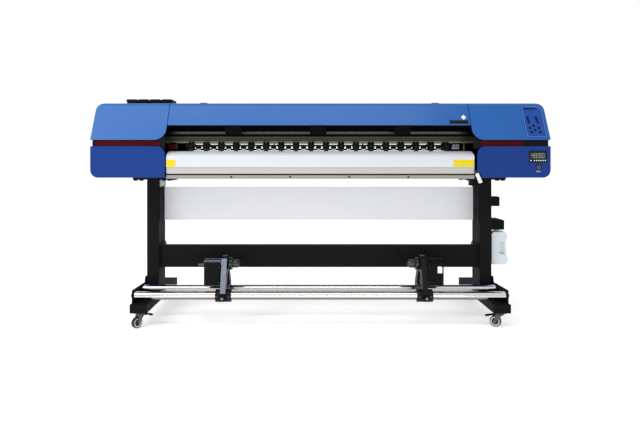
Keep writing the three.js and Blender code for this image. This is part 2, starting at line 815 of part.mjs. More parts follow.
function buildFrame() {
  add(works, "base_beam", baseBeam(), BLACK_PAINT);
  add(works, "gantry_beam", gantryBeam(), ALUMINIUM);
  const railEnd = FRAME_END - 4;
  const rail = box(-railEnd, railEnd, RAIL_FRONT, BEAM_FRONT - GAP, RAIL_BOTTOM, RAIL_TOP);
  add(works, "guide_rail", rail, STEEL);
  add(works, "print_platen", printPlaten(), WHITE_METAL);
  add(works, "platen_apron", platenApron(), ALUMINIUM);
  add(works, "rear_platen", rearPlaten(), WHITE_METAL);
  const feed = group(works, 0, FEED_Y, PLATEN_TOP - FEED_RADIUS);
  add(feed, "feed_roller", feedRoller(), STEEL);
  add(works, "pinch_arms", pinchArms(), BLACK_PLASTIC);
  add(group(works, 0, FEED_Y, PINCH_AXLE_Z), "pinch_rollers", pinchRollers(), RUBBER);
  add(group(works, 0, LEVER.y, LEVER.z), "pinch_lever", pinchLever(), WHITE_PLASTIC);
}

// ---------------------------------------------------------------- carriage and its drive
function carriage() {
  const half = 120;
  const profile = [
    [-345, 1063],
    [-345, 1172, 18],
    [-312, 1190, 10],
    [RAIL_FRONT - 14, 1190],
    [RAIL_FRONT - 14, 1240],
    [RAIL_FRONT - 2, 1240],
    [RAIL_FRONT - 2, RAIL_TOP + 8],
    [BEAM_FRONT - 3, RAIL_TOP + 8],
    [BEAM_FRONT - 3, RAIL_TOP + 0.8],
    [RAIL_FRONT - 0.8, RAIL_TOP + 0.8],
    [RAIL_FRONT - 0.8, RAIL_BOTTOM - 0.8],
    [BEAM_FRONT - 3, RAIL_BOTTOM - 0.8],
    [BEAM_FRONT - 3, RAIL_BOTTOM - 8],
    [-277, RAIL_BOTTOM - 8],
    [-277, 1063],
  ];
  const headWell = (x) => box(x - 27, x + 27, -337, -287, 1060, 1100);
  return cut(plateX(profile, -half, half, 4), headWell(-45), headWell(45));
}

// Two print heads on one heater plate inside the carriage's wells.
function printHeads() {
  const head = (x) => box(x - 25, x + 25, -335, -289, 1058.5, 1099);
  const nozzlePlate = box(-30, 30, -320, -304, 1059.5, 1062.4);
  return join(head(-45), head(45), nozzlePlate);
}

function beltLoop() {
  const run = PULLEY_X;
  const stadium = (radius) => [
    [-run - radius, DRIVE_Z - radius, radius - 0.01],
    [run + radius, DRIVE_Z - radius, radius - 0.01],
    [run + radius, DRIVE_Z + radius, radius - 0.01],
    [-run - radius, DRIVE_Z + radius, radius - 0.01],
  ];
  const inside = PULLEY_RADIUS + GAP;
  return cut(
    plateY(stadium(inside + BELT_THICKNESS), -248, -239),
    plateY(stadium(inside), -260, -230),
  );
}

function capStation() {
  const tray = box(-95, 95, -343, -283, 1020, 1046);
  const cap = (x) => cut(box(x - 27, x + 27, -337, -287, 1045, 1057.5), box(x - 22, x + 22, -332, -292, 1050, 1060));
  const guidePin = (x) => rodZ(4, 988, 1021, x, CAP_PIN_Y, 12);
  return join(tray, cap(-45), cap(45), guidePin(-80), guidePin(80));
}

function buildCarriage() {
  const place = group(works, CARRIAGE_X, 0, 0);
  add(place, "carriage", carriage(), BLACK_PLASTIC);
  add(place, "print_heads", printHeads(), STEEL);
  add(place, "capping_station", capStation(), BLACK_PLASTIC);
  add(works, "carriage_belt", beltLoop(), RUBBER);
  const motor = group(works, PULLEY_X, 0, DRIVE_Z);
  add(motor, "belt_pulley", rodY(PULLEY_RADIUS - 0.2, -249, -238, 0, 0, 20), ALUMINIUM);
  add(motor, "carriage_motor", box(-21, 21, -234, -150, -31.6, 30), BLACK_PAINT);
}

// ---------------------------------------------------------------- ink tanks
const TANK = { first: -1287, pitch: 80.6, width: 72, front: 196, back: 330, top: 1401.5 };

function inkTanks() {
  const { first, pitch, width, front, back, top } = TANK;
  const tray = box(first - 39, first + 3 * pitch + 70, front - 8, back + 8, BODY_TOP + GAP, BODY_TOP + 12);
  const tanks = [0, 1, 2, 3].map((i) => {
    const x = first + i * pitch;
    return plateY(
      [
        [x - width / 2 + 3, BODY_TOP + 10],
        [x - width / 2 + 3, top, 5],
        [x + width / 2 - 3, top, 5],
        [x + width / 2 - 3, BODY_TOP + 10],
      ],
      front,
      back,
      3,
    );
  });
  const last = first + 3 * pitch + width / 2;
  const manifold = plateY(
    [
      [last - 4, BODY_TOP + 10],
      [last - 4, top - 12],
      [last + 12, top - 16, 6],
      [last + 30, BODY_TOP + 10],
    ],
    front + 14,
    back - 14,
    3,
  );
  return join(tray, ...tanks, manifold);
}

// Local frame: the lid's hinge axis is X, through the origin at its rear edge.
function inkLid() {
  const { width, front, back } = TANK;
  const depth = back - front;
  const lid = plateX(
    [
      [-depth - 2, 1.2],
      [-depth - 2, 20, 8],
      [-6, 20, 6],
      [-6, 1.2],
    ],
    -width / 2,
    width / 2,
    4,
  ).intersect(
    plateY(
      [
        [-width / 2, 0],
        [-width / 2, 20, 8],
        [width / 2, 20, 8],
        [width / 2, 0],
      ],
      -depth - 5,
      0,
      4,
    ),
  );
  return join(lid, rodX(4, -14, 14, 0, 6, 12), box(-14, 14, -8, 0, 2, 10));
}

function buildInkSystem() {
  add(works, "ink_tanks", inkTanks(), BLACK_PLASTIC);
  for (let i = 0; i < 4; i++) {
    const place = group(works, TANK.first + i * TANK.pitch, TANK.back, TANK.top);
    add(place, "ink_lid_" + (i + 1), inkLid(), BLACK_PLASTIC);
  }
}

// ---------------------------------------------------------------- waste ink
function wasteBracket() {
  const x = STAND_X + LEG_HALF_WIDTH + GAP;
  const back = box(x, x + 4, -10, 30, 552, 760);
  const socketBox = plateY(
    [
      [x, 551],
      [x, 621, 3],
      [x + 66, 621, 6],
      [x + 94, 612, 4],
      [x + 94, 551, 3],
    ],
    -34,
    54,
    3,
  );
  const hook = plateY(
    [
      [x, 736],
      [x, 764],
      [x + 70, 764, 5],
      [x + 70, 702, 5],
      [x + 16, 702, 8],
      [x + 8, 722],
      [x + 8, 736],
    ],
    -16,
    36,
    3,
  );
  return join(back, socketBox, hook);
}

function wasteBottle() {
  const x0 = 1117;
  const x1 = 1222;
  const body = plateY(
    [
      [x0, 325, 16],
      [x0, 518, 14],
      [x0 + 18, 531, 6],
      [x1 - 22, 531, 6],
      [x1 - 4, 514, 10],
      [x1, 470, 12],
      [x1, 349, 22],
      [x1 - 14, 325, 14],
    ],
    -34,
    54,
    4,
  );
  const corners = solid(cylinder(57, 260, 20).rotateX(Math.PI / 2).scale(1, 0.86, 1).translate((x0 + x1) / 2, 10, 430));
  const neck = rodZ(17, 525, 551 - GAP, 1162, 10, 20);
  const grip = plateY(
    [
      [1185, 406, 9],
      [1185, 478, 9],
      [1208, 478, 9],
      [1208, 406, 9],
    ],
    -60,
    80,
    4,
  );
  return cut(join(body.intersect(corners), neck), grip);
}

function buildWasteSystem() {
  add(works, "waste_bracket", wasteBracket(), BLACK_PLASTIC);
  add(works, "waste_bottle", wasteBottle(), WHITE_PLASTIC);
}

// ---------------------------------------------------------------- take-up system
// Local frame: x 0 is the arm's middle, and inward (+1 or -1) is the side of the paper core.
function takeupArm() {
  const half = 15.5;
  const bore = TUBE_RADIUS + 0.7;
  const arm = plateX(
    [
      [-356, 168, 14],
      [-356, 214, 12],
      [-286, 408, 10],
      [-262, 421, 14],
      [-206, 421, 20],
      [-188, 380, 12],
      [-100, 236, 18],
      [-100, 158, 22],
      [-180, 158, 22],
      [-196, 206, 10],
      [-262, 206, 10],
      [-276, 160, 20],
    ],
    -half,
    half,
    4,
  );
  const pocketOutline = [
    [-284, 236, 8],
    [-262, 322, 6],
    [-214, 322, 6],
    [-158, 236, 8],
  ];
  const pocket = (side) => plateX(pocketOutline, side > 0 ? 5 : -half - 1, side > 0 ? half + 1 : -5, 3);
  const collar = rodX(37, -46, 46, FRONT_TUBE_Y, TUBE_Z, 24);
  return cut(
    join(arm, collar),
    pocket(1),
    pocket(-1),
    rodX(bore, -50, 50, FRONT_TUBE_Y, TUBE_Z, 24),
    rodX(bore, -50, 50, REAR_TUBE_Y, TUBE_Z, 24),
  );
}

function takeupMotor(inward) {
  const at = (x) => -inward * x;
  const barrel = rodX(27, at(16), at(128), CORE_Y, CORE_Z + 4, 20);
  const caseBox = plateY(
    [
      [at(26), 246, 6],
      [at(126), 246, 6],
      [at(126), 378, 3],
      [at(26), 378, 3],
    ],
    -270,
    -196,
    3,
  );
  const gland = join(
    rodX(13, at(127), at(138), CORE_Y, CORE_Z - 6, 14),
    rodX(8, at(137), at(166), CORE_Y, CORE_Z - 6, 12),
  );
  return join(barrel, caseBox, gland);
}

// Expanding-core chuck with a seat for 3-inch cores and a longer one for 2-inch cores.
function takeupChuck(inward) {
  const profile = [
    [16, 0],
    [16, 14],
    [19, 14],
    [19, CHUCK.largeRadius],
    [41, CHUCK.largeRadius],
    [43, CHUCK.smallRadius],
    [74, CHUCK.smallRadius],
    [86, 17],
    [86, 0],
  ];
  return turnedX(profile, 48).scale([inward, 1, 1]);
}

function clampKnob() {
  const lobes = 6;
  const star = new THREE.Shape();
  const points = Array.from({ length: lobes * 4 }, (_, i) => {
    const turn = (i / (lobes * 4)) * 2 * Math.PI;
    const radius = 17 + 3 * Math.cos(lobes * turn);
    return new THREE.Vector2(radius * Math.cos(turn), radius * Math.sin(turn));
  });
  star.setFromPoints(points);
  const head = solid(extrude(star, 18).applyMatrix4(X_Z_ALONG_Y).translate(0, -10, 0));
  return join(head, rodY(8, -11, 0, 0, 0, 14));
}

function buildTakeup() {
  const tubeEnd = STAND_X + 45 - GAP;
  add(works, "front_takeup_tube", rodX(TUBE_RADIUS, -tubeEnd, tubeEnd, FRONT_TUBE_Y, TUBE_Z, 24), CHROME);
  add(works, "rear_takeup_tube", rodX(TUBE_RADIUS, -tubeEnd, tubeEnd, REAR_TUBE_Y, TUBE_Z, 24), CHROME);
  for (const [name, inward] of [
    ["left", 1],
    ["right", -1],
  ]) {
    const unit = group(works, TAKEUP_X[name], 0, 0);
    add(unit, name + "_takeup_arm", takeupArm(), ALUMINIUM);
    add(unit, name + "_takeup_motor", takeupMotor(inward), BLACK_PLASTIC);
    add(group(unit, 0, CORE_Y, CORE_Z), name + "_core_chuck", takeupChuck(inward), BLACK_PLASTIC);
    add(group(unit, 0, -356 - GAP, TUBE_Z - 4), name + "_clamp_knob", clampKnob(), BLACK_PLASTIC);
  }
}

buildStand();
buildCasters();
buildFrame();
buildCarriage();
buildCovers();
buildInkSystem();
buildWasteSystem();
buildTakeup();

export default machine;
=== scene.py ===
"""Looks of the printer cutter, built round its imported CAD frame. Metres, +X right, +Y to the back, +Z up."""

import json
import math

import bmesh
import bpy
from mathutils import Matrix, Vector


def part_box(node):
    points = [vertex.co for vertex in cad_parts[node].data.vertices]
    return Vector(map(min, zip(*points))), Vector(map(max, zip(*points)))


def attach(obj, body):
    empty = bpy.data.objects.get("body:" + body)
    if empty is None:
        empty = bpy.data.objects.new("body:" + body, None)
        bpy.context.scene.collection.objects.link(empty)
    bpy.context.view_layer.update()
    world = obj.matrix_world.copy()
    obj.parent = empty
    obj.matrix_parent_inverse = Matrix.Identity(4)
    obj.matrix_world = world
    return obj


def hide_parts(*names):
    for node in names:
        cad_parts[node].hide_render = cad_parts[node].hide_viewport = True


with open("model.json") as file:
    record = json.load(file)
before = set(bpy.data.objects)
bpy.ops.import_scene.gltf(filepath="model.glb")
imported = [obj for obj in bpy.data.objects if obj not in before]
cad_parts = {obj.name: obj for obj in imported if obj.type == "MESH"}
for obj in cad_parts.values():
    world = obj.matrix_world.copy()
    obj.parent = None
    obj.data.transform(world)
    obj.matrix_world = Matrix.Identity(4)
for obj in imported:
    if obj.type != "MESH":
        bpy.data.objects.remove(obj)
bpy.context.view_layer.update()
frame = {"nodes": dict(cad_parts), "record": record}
NODES = frame["nodes"]
RECORD = frame["record"]
JOINTS_AT = {
    joint["name"]: (Vector(joint["pos_m"]), Vector(joint["axis"]))
    for joint in RECORD["behaviour"]["joints"]
    if "pos_m" in joint
}
BODY_OF = {node: body for body, nodes in RECORD["behaviour"]["bodies"].items() for node in nodes}

MM = 0.001
DATUM = 13 * MM  # the works were measured from a datum this far below the floor
ROOT = "machine"
X, Y, Z = Vector((1, 0, 0)), Vector((0, 1, 0)), Vector((0, 0, 1))
SIDES = (("left", -1), ("right", 1))


# ---------------------------------------------------------------- materials
def linear(red, green, blue):
    """An sRGB colour of 0 to 255 as the linear RGBA that a shader takes."""
    channels = [c / 255 for c in (red, green, blue)]
    return tuple(c / 12.92 if c <= 0.04045 else ((c + 0.055) / 1.055) ** 2.4 for c in channels) + (1.0,)


def surface(
    name,
    color,
    roughness,
    metallic=0.0,
    coat=0.0,
    coat_roughness=0.08,
    grain=900.0,
    relief=0.02,
    mottle=3.0,
    shade=0.08,
    scuff=0.06,
    stretch=(1.0, 1.0, 1.0),
    transmission=0.0,
    subsurface=0.0,
    emission=0.0,
    specular=0.5,
):
    """A procedural finish: fine relief of grain per metre, slow shade changes, and scuffed roughness."""
    material = bpy.data.materials.new(name)
    material.use_nodes = True
    nodes, links = material.node_tree.nodes, material.node_tree.links
    shader = nodes["Principled BSDF"]
    shader.inputs["Metallic"].default_value = metallic
    shader.inputs["Specular IOR Level"].default_value = specular
    shader.inputs["Coat Weight"].default_value = coat
    shader.inputs["Coat Roughness"].default_value = coat_roughness
    shader.inputs["Transmission Weight"].default_value = transmission
    shader.inputs["Subsurface Weight"].default_value = subsurface
    if emission:
        shader.inputs["Emission Color"].default_value = linear(*color)
        shader.inputs["Emission Strength"].default_value = emission

    place = nodes.new("ShaderNodeTexCoord")
    mapping = nodes.new("ShaderNodeMapping")
    mapping.inputs["Scale"].default_value = stretch
    links.new(place.outputs["Object"], mapping.inputs["Vector"])

    def noise(scale, detail):
        node = nodes.new("ShaderNodeTexNoise")
        node.inputs["Scale"].default_value = scale
        node.inputs["Detail"].default_value = detail
        links.new(mapping.outputs["Vector"], node.inputs["Vector"])
        return node.outputs["Fac"]

    def spread(source, low, high):
        node = nodes.new("ShaderNodeMapRange")
        node.inputs["From Min"].default_value = 0.3
        node.inputs["From Max"].default_value = 0.7
        node.inputs["To Min"].default_value = low
        node.inputs["To Max"].default_value = high
        links.new(source, node.inputs["Value"])
        return node.outputs["Result"]

    slow, fine = noise(mottle, 3.0), noise(grain, 2.0)
    tone = nodes.new("ShaderNodeMix")
    tone.data_type = "RGBA"
    tone.blend_type = "MULTIPLY"
    tone.inputs["Factor"].default_value = 1.0
    tone.inputs["A"].default_value = linear(*color)
    grey = nodes.new("ShaderNodeCombineColor")
    for channel in ("Red", "Green", "Blue"):
        links.new(spread(slow, 1 - shade, 1 + shade * 0.5), grey.inputs[channel])
    links.new(grey.outputs["Color"], tone.inputs["B"])
    links.new(tone.outputs["Result"], shader.inputs["Base Color"])
    links.new(spread(slow, max(0.02, roughness - scuff), roughness + scuff), shader.inputs["Roughness"])

    bump = nodes.new("ShaderNodeBump")
    bump.inputs["Strength"].default_value = 1.0
    bump.inputs["Distance"].default_value = relief * MM
    links.new(fine, bump.inputs["Height"])
    links.new(bump.outputs["Normal"], shader.inputs["Normal"])
    return material


def tint_below(material, tint, low, high):
    """Fades a finish into another colour from the height high down to the height low."""
    nodes, links = material.node_tree.nodes, material.node_tree.links
    base = nodes["Principled BSDF"].inputs["Base Color"]
    place, split = nodes.new("ShaderNodeTexCoord"), nodes.new("ShaderNodeSeparateXYZ")
    fade, mix = nodes.new("ShaderNodeMapRange"), nodes.new("ShaderNodeMix")
    fade.interpolation_type = "SMOOTHSTEP"
    fade.inputs["From Min"].default_value = low
    fade.inputs["From Max"].default_value = high
    mix.data_type = "RGBA"
    mix.inputs["A"].default_value = linear(*tint)
    links.new(place.outputs["Object"], split.inputs["Vector"])
    links.new(split.outputs["Z"], fade.inputs["Value"])
    links.new(fade.outputs["Result"], mix.inputs["Factor"])
    links.new(base.links[0].from_socket, mix.inputs["B"])
    links.new(mix.outputs["Result"], base)


BLUE = surface("blue_paint", (24, 83, 151), 0.3, coat=0.04, grain=700, relief=0.02, mottle=1.6, shade=0.03, specular=0.3)
DEEP_BLUE = surface("deep_blue_paint", (17, 50, 116), 0.34, grain=700, relief=0.02, mottle=1.6, shade=0.03, specular=0.14)
BLACK_COAT = surface("black_powder_coat", (19, 19, 20), 0.62, grain=1500, relief=0.1, mottle=6, shade=0.2, specular=0.06)
# black parts darkened further to near zero: partly their own black, partly painted shade under the hood
BLACK_AND_PAINTED_SHADE = surface("matt_black_and_painted_shade", (7, 7, 8), 0.8, grain=1200, relief=0.1, mottle=6, shade=0.2, specular=0.04)
BLACK_PLASTIC = surface("black_plastic", (9, 9, 10), 0.5, grain=1800, relief=0.05, mottle=8, shade=0.15, specular=0.08)
GLOSS_BLACK = surface("gloss_black", (8, 8, 10), 0.18, coat=0.1, grain=400, relief=0.01, mottle=8, specular=0.2)
CAST_BLACK = surface("cast_black", (18, 20, 24), 0.46, metallic=0.15, grain=900, relief=0.1, mottle=14, shade=0.15, specular=0.15)
# a bright metal copy of the motor black: painted highlight on the left motor barrel
BARREL_PAINTED_HIGHLIGHT = surface("motor_barrel", (82, 90, 106), 0.26, metallic=0.8, grain=900, relief=0.03, mottle=14, shade=0.15)
CHUCK_BLACK = surface("chuck_black", (24, 24, 26), 0.26, grain=900, relief=0.02, mottle=14, shade=0.15, coat=0.3)
# grey metal of the right roller drive housing; also a painted highlight on the left take-up arm's front edge
GREY_METAL_AND_PAINTED_HIGHLIGHT = surface("grey_metal_and_painted_highlight", (122, 129, 142), 0.42, metallic=0.5, grain=600, relief=0.12, mottle=60, shade=0.16)
WHITE_PAINT = surface("white_paint", (192, 194, 199), 0.36, coat=0.06, grain=600, relief=0.02, shade=0.02, specular=0.4)
APRON_GREY = surface("apron_grey", (136, 135, 128), 0.42, grain=600, relief=0.02, shade=0.03)
# a darker copy of white_paint: painted shade on the platen's lower band
PLATEN_SHADE = surface("platen_band_painted_shade", (166, 165, 160), 0.4, grain=600, relief=0.02, shade=0.03)
GUIDE_WHITE = surface("guide_white", (240, 240, 242), 0.6, grain=260, relief=0.04, mottle=9, shade=0.01, specular=0.3)
SHADOW_GAP = surface("shadow_gap", (44, 38, 28), 0.7, grain=900, relief=0.04, mottle=9, shade=0.2)
ANODISED = surface(
    "anodised_aluminium", (66, 62, 53), 0.4, metallic=0.6, grain=900, relief=0.05, mottle=9, stretch=(0.3, 1, 1)
)
BRIGHT_BAND = surface(
    "bright_band", (120, 114, 102), 0.36, metallic=0.5, grain=900, relief=0.03, mottle=7, stretch=(0.3, 1, 1)
)
ALUMINIUM = surface("cast_aluminium", (168, 168, 164), 0.42, metallic=0.8, grain=1100, relief=0.08, mottle=14)
CHROME_WITH_PAINTED_REFLECTION = surface("chrome_with_painted_reflection", (238, 236, 232), 0.12, metallic=1.0, grain=300, relief=0.0, mottle=4, stretch=(0.1, 1, 1), shade=0.02, scuff=0.0)
# painted reflection: the chrome colour fades to brown towards the bottom of the tubes
tint_below(CHROME_WITH_PAINTED_REFLECTION, (70, 50, 36), 0.158, 0.196)
STEEL = surface("zinc_steel", (84, 84, 83), 0.26, metallic=0.9, grain=800, relief=0.03, mottle=30, shade=0.12)
GROUND_STEEL = surface(
    "ground_steel", (104, 103, 100), 0.26, metallic=1.0, grain=1600, relief=0.002, stretch=(0.05, 1, 1)
)
RUBBER = surface("black_rubber", (19, 19, 20), 0.7, grain=1300, relief=0.1, mottle=20, shade=0.2)
RIM_PLASTIC = surface("rim_plastic", (208, 208, 205), 0.42, grain=900, relief=0.04, mottle=25, shade=0.06)
HDPE = surface("hdpe", (208, 216, 220), 0.4, grain=500, relief=0.05, mottle=12, shade=0.05, subsurface=0.15)
IVORY = surface("ivory_plastic", (214, 214, 208), 0.3, coat=0.2, grain=700, relief=0.02, mottle=18, shade=0.04)
RED_STRIP = surface("red_strip", (70, 2, 6), 0.42, grain=900, relief=0.02, mottle=5, shade=0.1, specular=0.05)
YELLOW = surface("yellow_patch", (206, 186, 18), 0.42, grain=900, relief=0.01, mottle=30, shade=0.05, specular=0.2)
BLANK_LABEL = surface("blank_label", (226, 226, 222), 0.4, coat=0.3, grain=900, relief=0.01, mottle=40, shade=0.03)
PANEL_BLUE = surface("panel_membrane", (24, 68, 142), 0.32, grain=1500, relief=0.03, mottle=20, shade=0.04, specular=0.2)
PANEL_LINE = surface("panel_line", (96, 128, 176), 0.4, grain=1500, relief=0.02, mottle=20, shade=0.05)
KEY_DARK = surface("key_face", (6, 14, 38), 0.35, grain=1500, relief=0.02, mottle=40, shade=0.05, specular=0.1)
SCREEN = surface("lcd_glass", (16, 26, 24), 0.1, coat=0.8, grain=200, relief=0.004, mottle=30, shade=0.2)
DIGIT = surface("lit_digit", (128, 130, 122), 0.4, grain=600, relief=0.01, mottle=60, shade=0.15, emission=0.12)
BRASS = surface("brass", (120, 84, 46), 0.36, metallic=0.8, grain=800, relief=0.03, mottle=20)


# ---------------------------------------------------------------- mesh helpers
def shape(name, bm, material, body=ROOT, replaces=(), bevel=0.0, segments=2, crease=32.0, also=()):
    """Turns a bmesh into a piece that rides on a CAD body, smooth but for edges sharper than crease degrees.

    also lists (material, test) pairs: faces whose centre passes the test take that material.
    """
    bmesh.ops.recalc_face_normals(bm, faces=bm.faces)
    for face in bm.faces:
        centre = face.calc_center_median()
        for index, (_, test) in enumerate(also, start=1):
            if test(centre):
                face.material_index = index
    limit = math.radians(crease)
    weights = bm.edges.layers.float.new("bevel_weight_edge") if bevel else None
    for face in bm.faces:
        face.smooth = True
    for edge in bm.edges:
        sharp = len(edge.link_faces) != 2 or edge.calc_face_angle(0) > limit
        edge.smooth = not sharp
        if bevel and sharp and len(edge.link_faces) == 2:
            thin = min(2 * f.calc_area() / max(f.calc_perimeter(), 1e-9) for f in edge.link_faces)
            edge[weights] = min(1.0, 0.3 * thin / bevel)
    mesh = bpy.data.meshes.new(name)
    bm.to_mesh(mesh)
    bm.free()
    obj = bpy.data.objects.new(name, mesh)
    bpy.context.scene.collection.objects.link(obj)
    for finish in (material, *(extra for extra, _ in also)):
        mesh.materials.append(finish)
    if bevel:
        rounding = obj.modifiers.new("rounded_edges", "BEVEL")
        rounding.limit_method = "WEIGHT"
        rounding.width = bevel
        rounding.segments = segments
        rounding.use_clamp_overlap = True
        flat = obj.modifiers.new("flat_faces", "WEIGHTED_NORMAL")
        flat.keep_sharp = True
    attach(obj, body)
    if replaces:
        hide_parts(*replaces)
    return obj


def refined(node, material, bevel=1.0 * MM, segments=2, crease=32.0, also=()):
    """The CAD node's own shape with its flat faces joined, its edges rounded and its curves shaded smooth."""
    bm = bmesh.new()
    bm.from_mesh(NODES[node].data)
    bmesh.ops.remove_doubles(bm, verts=bm.verts, dist=0.01 * MM)
    bmesh.ops.dissolve_limit(bm, angle_limit=math.radians(1.0), verts=bm.verts, edges=bm.edges)
    return shape(node + "_skin", bm, material, BODY_OF[node], (node,), bevel, segments, crease, also)


def arc(corner, before, after, radius, steps):
    """The points that round a corner of an outline with an arc."""
    to_before, to_after = (before - corner).normalized(), (after - corner).normalized()
    half = to_before.angle(to_after) / 2
    reach = radius / math.tan(half)
    start, end = corner + to_before * reach, corner + to_after * reach
    centre = corner + (to_before + to_after).normalized() * (radius / math.sin(half))
    sweep = (start - centre).angle_signed(end - centre)
    return [centre + Matrix.Rotation(-sweep * k / steps, 2) @ (start - centre) for k in range(steps + 1)]


def outline(corners, steps=6):
    """A closed outline from corners (u, v) or (u, v, radius), in metres."""
    points = []
    for index, corner in enumerate(corners):
        here = Vector(corner[:2])
        if len(corner) == 2 or not corner[2]:
            points.append(here)
            continue
        before = Vector(corners[index - 1][:2])
        after = Vector(corners[(index + 1) % len(corners)][:2])
        points += arc(here, before, after, corner[2], steps)
    return points


def add_prism(bm, points, low, high, place):
    """Adds an outline extruded from low to high; place(u, v, w) gives the position."""
    ends = [[bm.verts.new(place(p[0], p[1], w)) for p in points] for w in (low, high)]
    bm.faces.new(ends[0])
    bm.faces.new(reversed(ends[1]))
    count = len(points)
    for i in range(count):
        j = (i + 1) % count
        bm.faces.new((ends[0][i], ends[1][i], ends[1][j], ends[0][j]))


def along_x(u, v, w):
    return Vector((w, u, v))


def along_y(u, v, w):
    return Vector((u, w, v))


def along_z(u, v, w):
    return Vector((u, v, w))


def add_box(bm, low, high, matrix=Matrix.Identity(4)):
    """Adds a box between two corners."""
    corners = [(low[0], low[1]), (high[0], low[1]), (high[0], high[1]), (low[0], high[1])]
    add_prism(bm, corners, low[2], high[2], lambda u, v, w: matrix @ Vector((u, v, w)))


def axis_matrix(origin, axis):
    """A frame at origin whose Z runs along axis."""
    return Matrix.Translation(origin) @ Vector(axis).to_track_quat("Z", "Y").to_matrix().to_4x4()


def add_turned(bm, profile, origin, axis, sides=32, matrix=Matrix.Identity(4)):
    """Adds a body turned about axis through origin, from (distance along, radius) points; it closes on itself."""
    basis = matrix @ axis_matrix(origin, axis)
    rings = []
    for along, radius in profile:
        if radius < 1e-6:
            rings.append([bm.verts.new(basis @ Vector((0, 0, along)))])
            continue
        rings.append(
            [
                bm.verts.new(
                    basis
                    @ Vector(
                        (
                            radius * math.cos(2 * math.pi * k / sides),
                            radius * math.sin(2 * math.pi * k / sides),
                            along,
                        )
                    )
                )
                for k in range(sides)
            ]
        )
    pairs = list(zip(rings, rings[1:]))
    if len(rings[0]) > 1 and len(rings[-1]) > 1:
        pairs.append((rings[-1], rings[0]))
    for one, two in pairs:
        for k in range(sides):
            m = (k + 1) % sides
            if len(one) == 1 and len(two) == 1:
                break
            if len(one) == 1:
                bm.faces.new((one[0], two[m], two[k]))
            elif len(two) == 1:
                bm.faces.new((one[k], one[m], two[0]))
            else:
                bm.faces.new((one[k], one[m], two[m], two[k]))


def add_rod(bm, radius, start, end, sides=24, chamfer=0.0, matrix=Matrix.Identity(4)):
    """Adds a rod between two points, with chamfered ends."""
    start, end = Vector(start), Vector(end)
    length = (end - start).length
    profile = [(0, 0), (0, radius - chamfer), (chamfer, radius), (length - chamfer, radius)]
    profile += [(length, radius - chamfer), (length, 0)]
    add_turned(bm, profile, start, end - start, sides, matrix)


def add_hex_bolt(bm, seat, axis, size=4 * MM, washer=True, matrix=Matrix.Identity(4)):
    """Adds a hexagon head on a washer; seat is where the washer lies and size the thread radius."""
    seat, axis = Vector(seat), Vector(axis).normalized()
    lift = 0.0
    if washer:
        lift = size * 0.35
        add_turned(bm, [(0, 0), (0, size * 2.1), (lift, size * 2.1), (lift, 0)], seat, axis, 20, matrix)
    head = [(lift, 0), (lift, size * 1.75), (lift + size * 1.1, size * 1.75), (lift + size * 1.3, size * 1.5)]
    add_turned(bm, head + [(lift + size * 1.3, 0)], seat, axis, 6, matrix)


def add_socket_screw(bm, seat, axis, radius=3.2 * MM, height=1.6 * MM, matrix=Matrix.Identity(4)):
    """Adds a round button head with a socket in it."""
    profile = [(0, 0), (0, radius), (height * 0.5, radius), (height, radius * 0.7), (height, radius * 0.42)]
    profile += [(height * 0.35, radius * 0.38), (height * 0.35, 0)]
    add_turned(bm, profile, seat, axis, 16, matrix)


def middle(node):
    low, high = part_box(node)
    return (low + high) / 2


def face_frame(centre, facing):
    """A frame on a surface: its Z looks along facing, its Y up (or to the back on a level surface)."""
    outward = Vector(facing).normalized()
    up = Y.copy() if abs(outward.z) > 0.9 else (Z - outward * outward.z).normalized()
    rotation = Matrix((up.cross(outward), up, outward)).transposed()
    return Matrix.Translation(Vector(centre)) @ rotation.to_4x4()


def rounded(width, height, radius=0.0, at=(0.0, 0.0), steps=5):
    """The outline of a rectangle with round corners."""
    u, v = at
    corners = [(-1, -1), (1, -1), (1, 1), (-1, 1)]
    return outline([(u + a * width / 2, v + b * height / 2, radius) for a, b in corners], steps)


def add_plate(bm, place, points, base, thick):
    """Adds an outline as a plate on a surface frame, from base to base + thick along the frame's Z."""
    add_prism(bm, points, base, base + thick, lambda u, v, w: place @ Vector((u, v, w)))


def patch(name, centre, facing, size, material, body=ROOT, corner=2 * MM, bevel=0.2 * MM):
    """A thin plate of size (width, height, thickness) lying on a surface."""
    bm = bmesh.new()
    add_plate(bm, face_frame(centre, facing), rounded(size[0], size[1], corner), 0.0, size[2])
    return shape(name, bm, material, body, bevel=bevel)


def screws(name, seats, axis, body=ROOT, radius=3.2 * MM, height=1.6 * MM, material=None):
    """Button-head screws in one piece."""
    bm = bmesh.new()
    for seat in seats:
        add_socket_screw(bm, seat, axis, radius, height)
    return shape(name, bm, material or STEEL, body)


def bolts(name, seats, axis, body=ROOT, size=4 * MM, material=None):
    """Hexagon bolts on washers in one piece."""
    bm = bmesh.new()
    for seat in seats:
        add_hex_bolt(bm, seat, axis, size)
    return shape(name, bm, material or STEEL, body)


def louvres(name, centre, facing, width, height, count, frame_material):
    """A dark vent behind a row of slats."""
    place = face_frame(centre, facing)
    # painted shade: a thin black sheet on the cover stands for the dark inside of the vent opening
    patch(name + "_opening", centre, facing, (width, height, 0.5 * MM), BLACK_PLASTIC, corner=6 * MM)
    bm = bmesh.new()
    pitch = height / (count + 1)
    for i in range(count):
        slat = rounded(width - 8 * MM, pitch * 0.55, 1.2 * MM, (0.0, (i - (count - 1) / 2) * pitch), 3)
        add_plate(bm, place, slat, 0.3 * MM, 1.8 * MM)
    return shape(name, bm, frame_material, bevel=0.6 * MM)


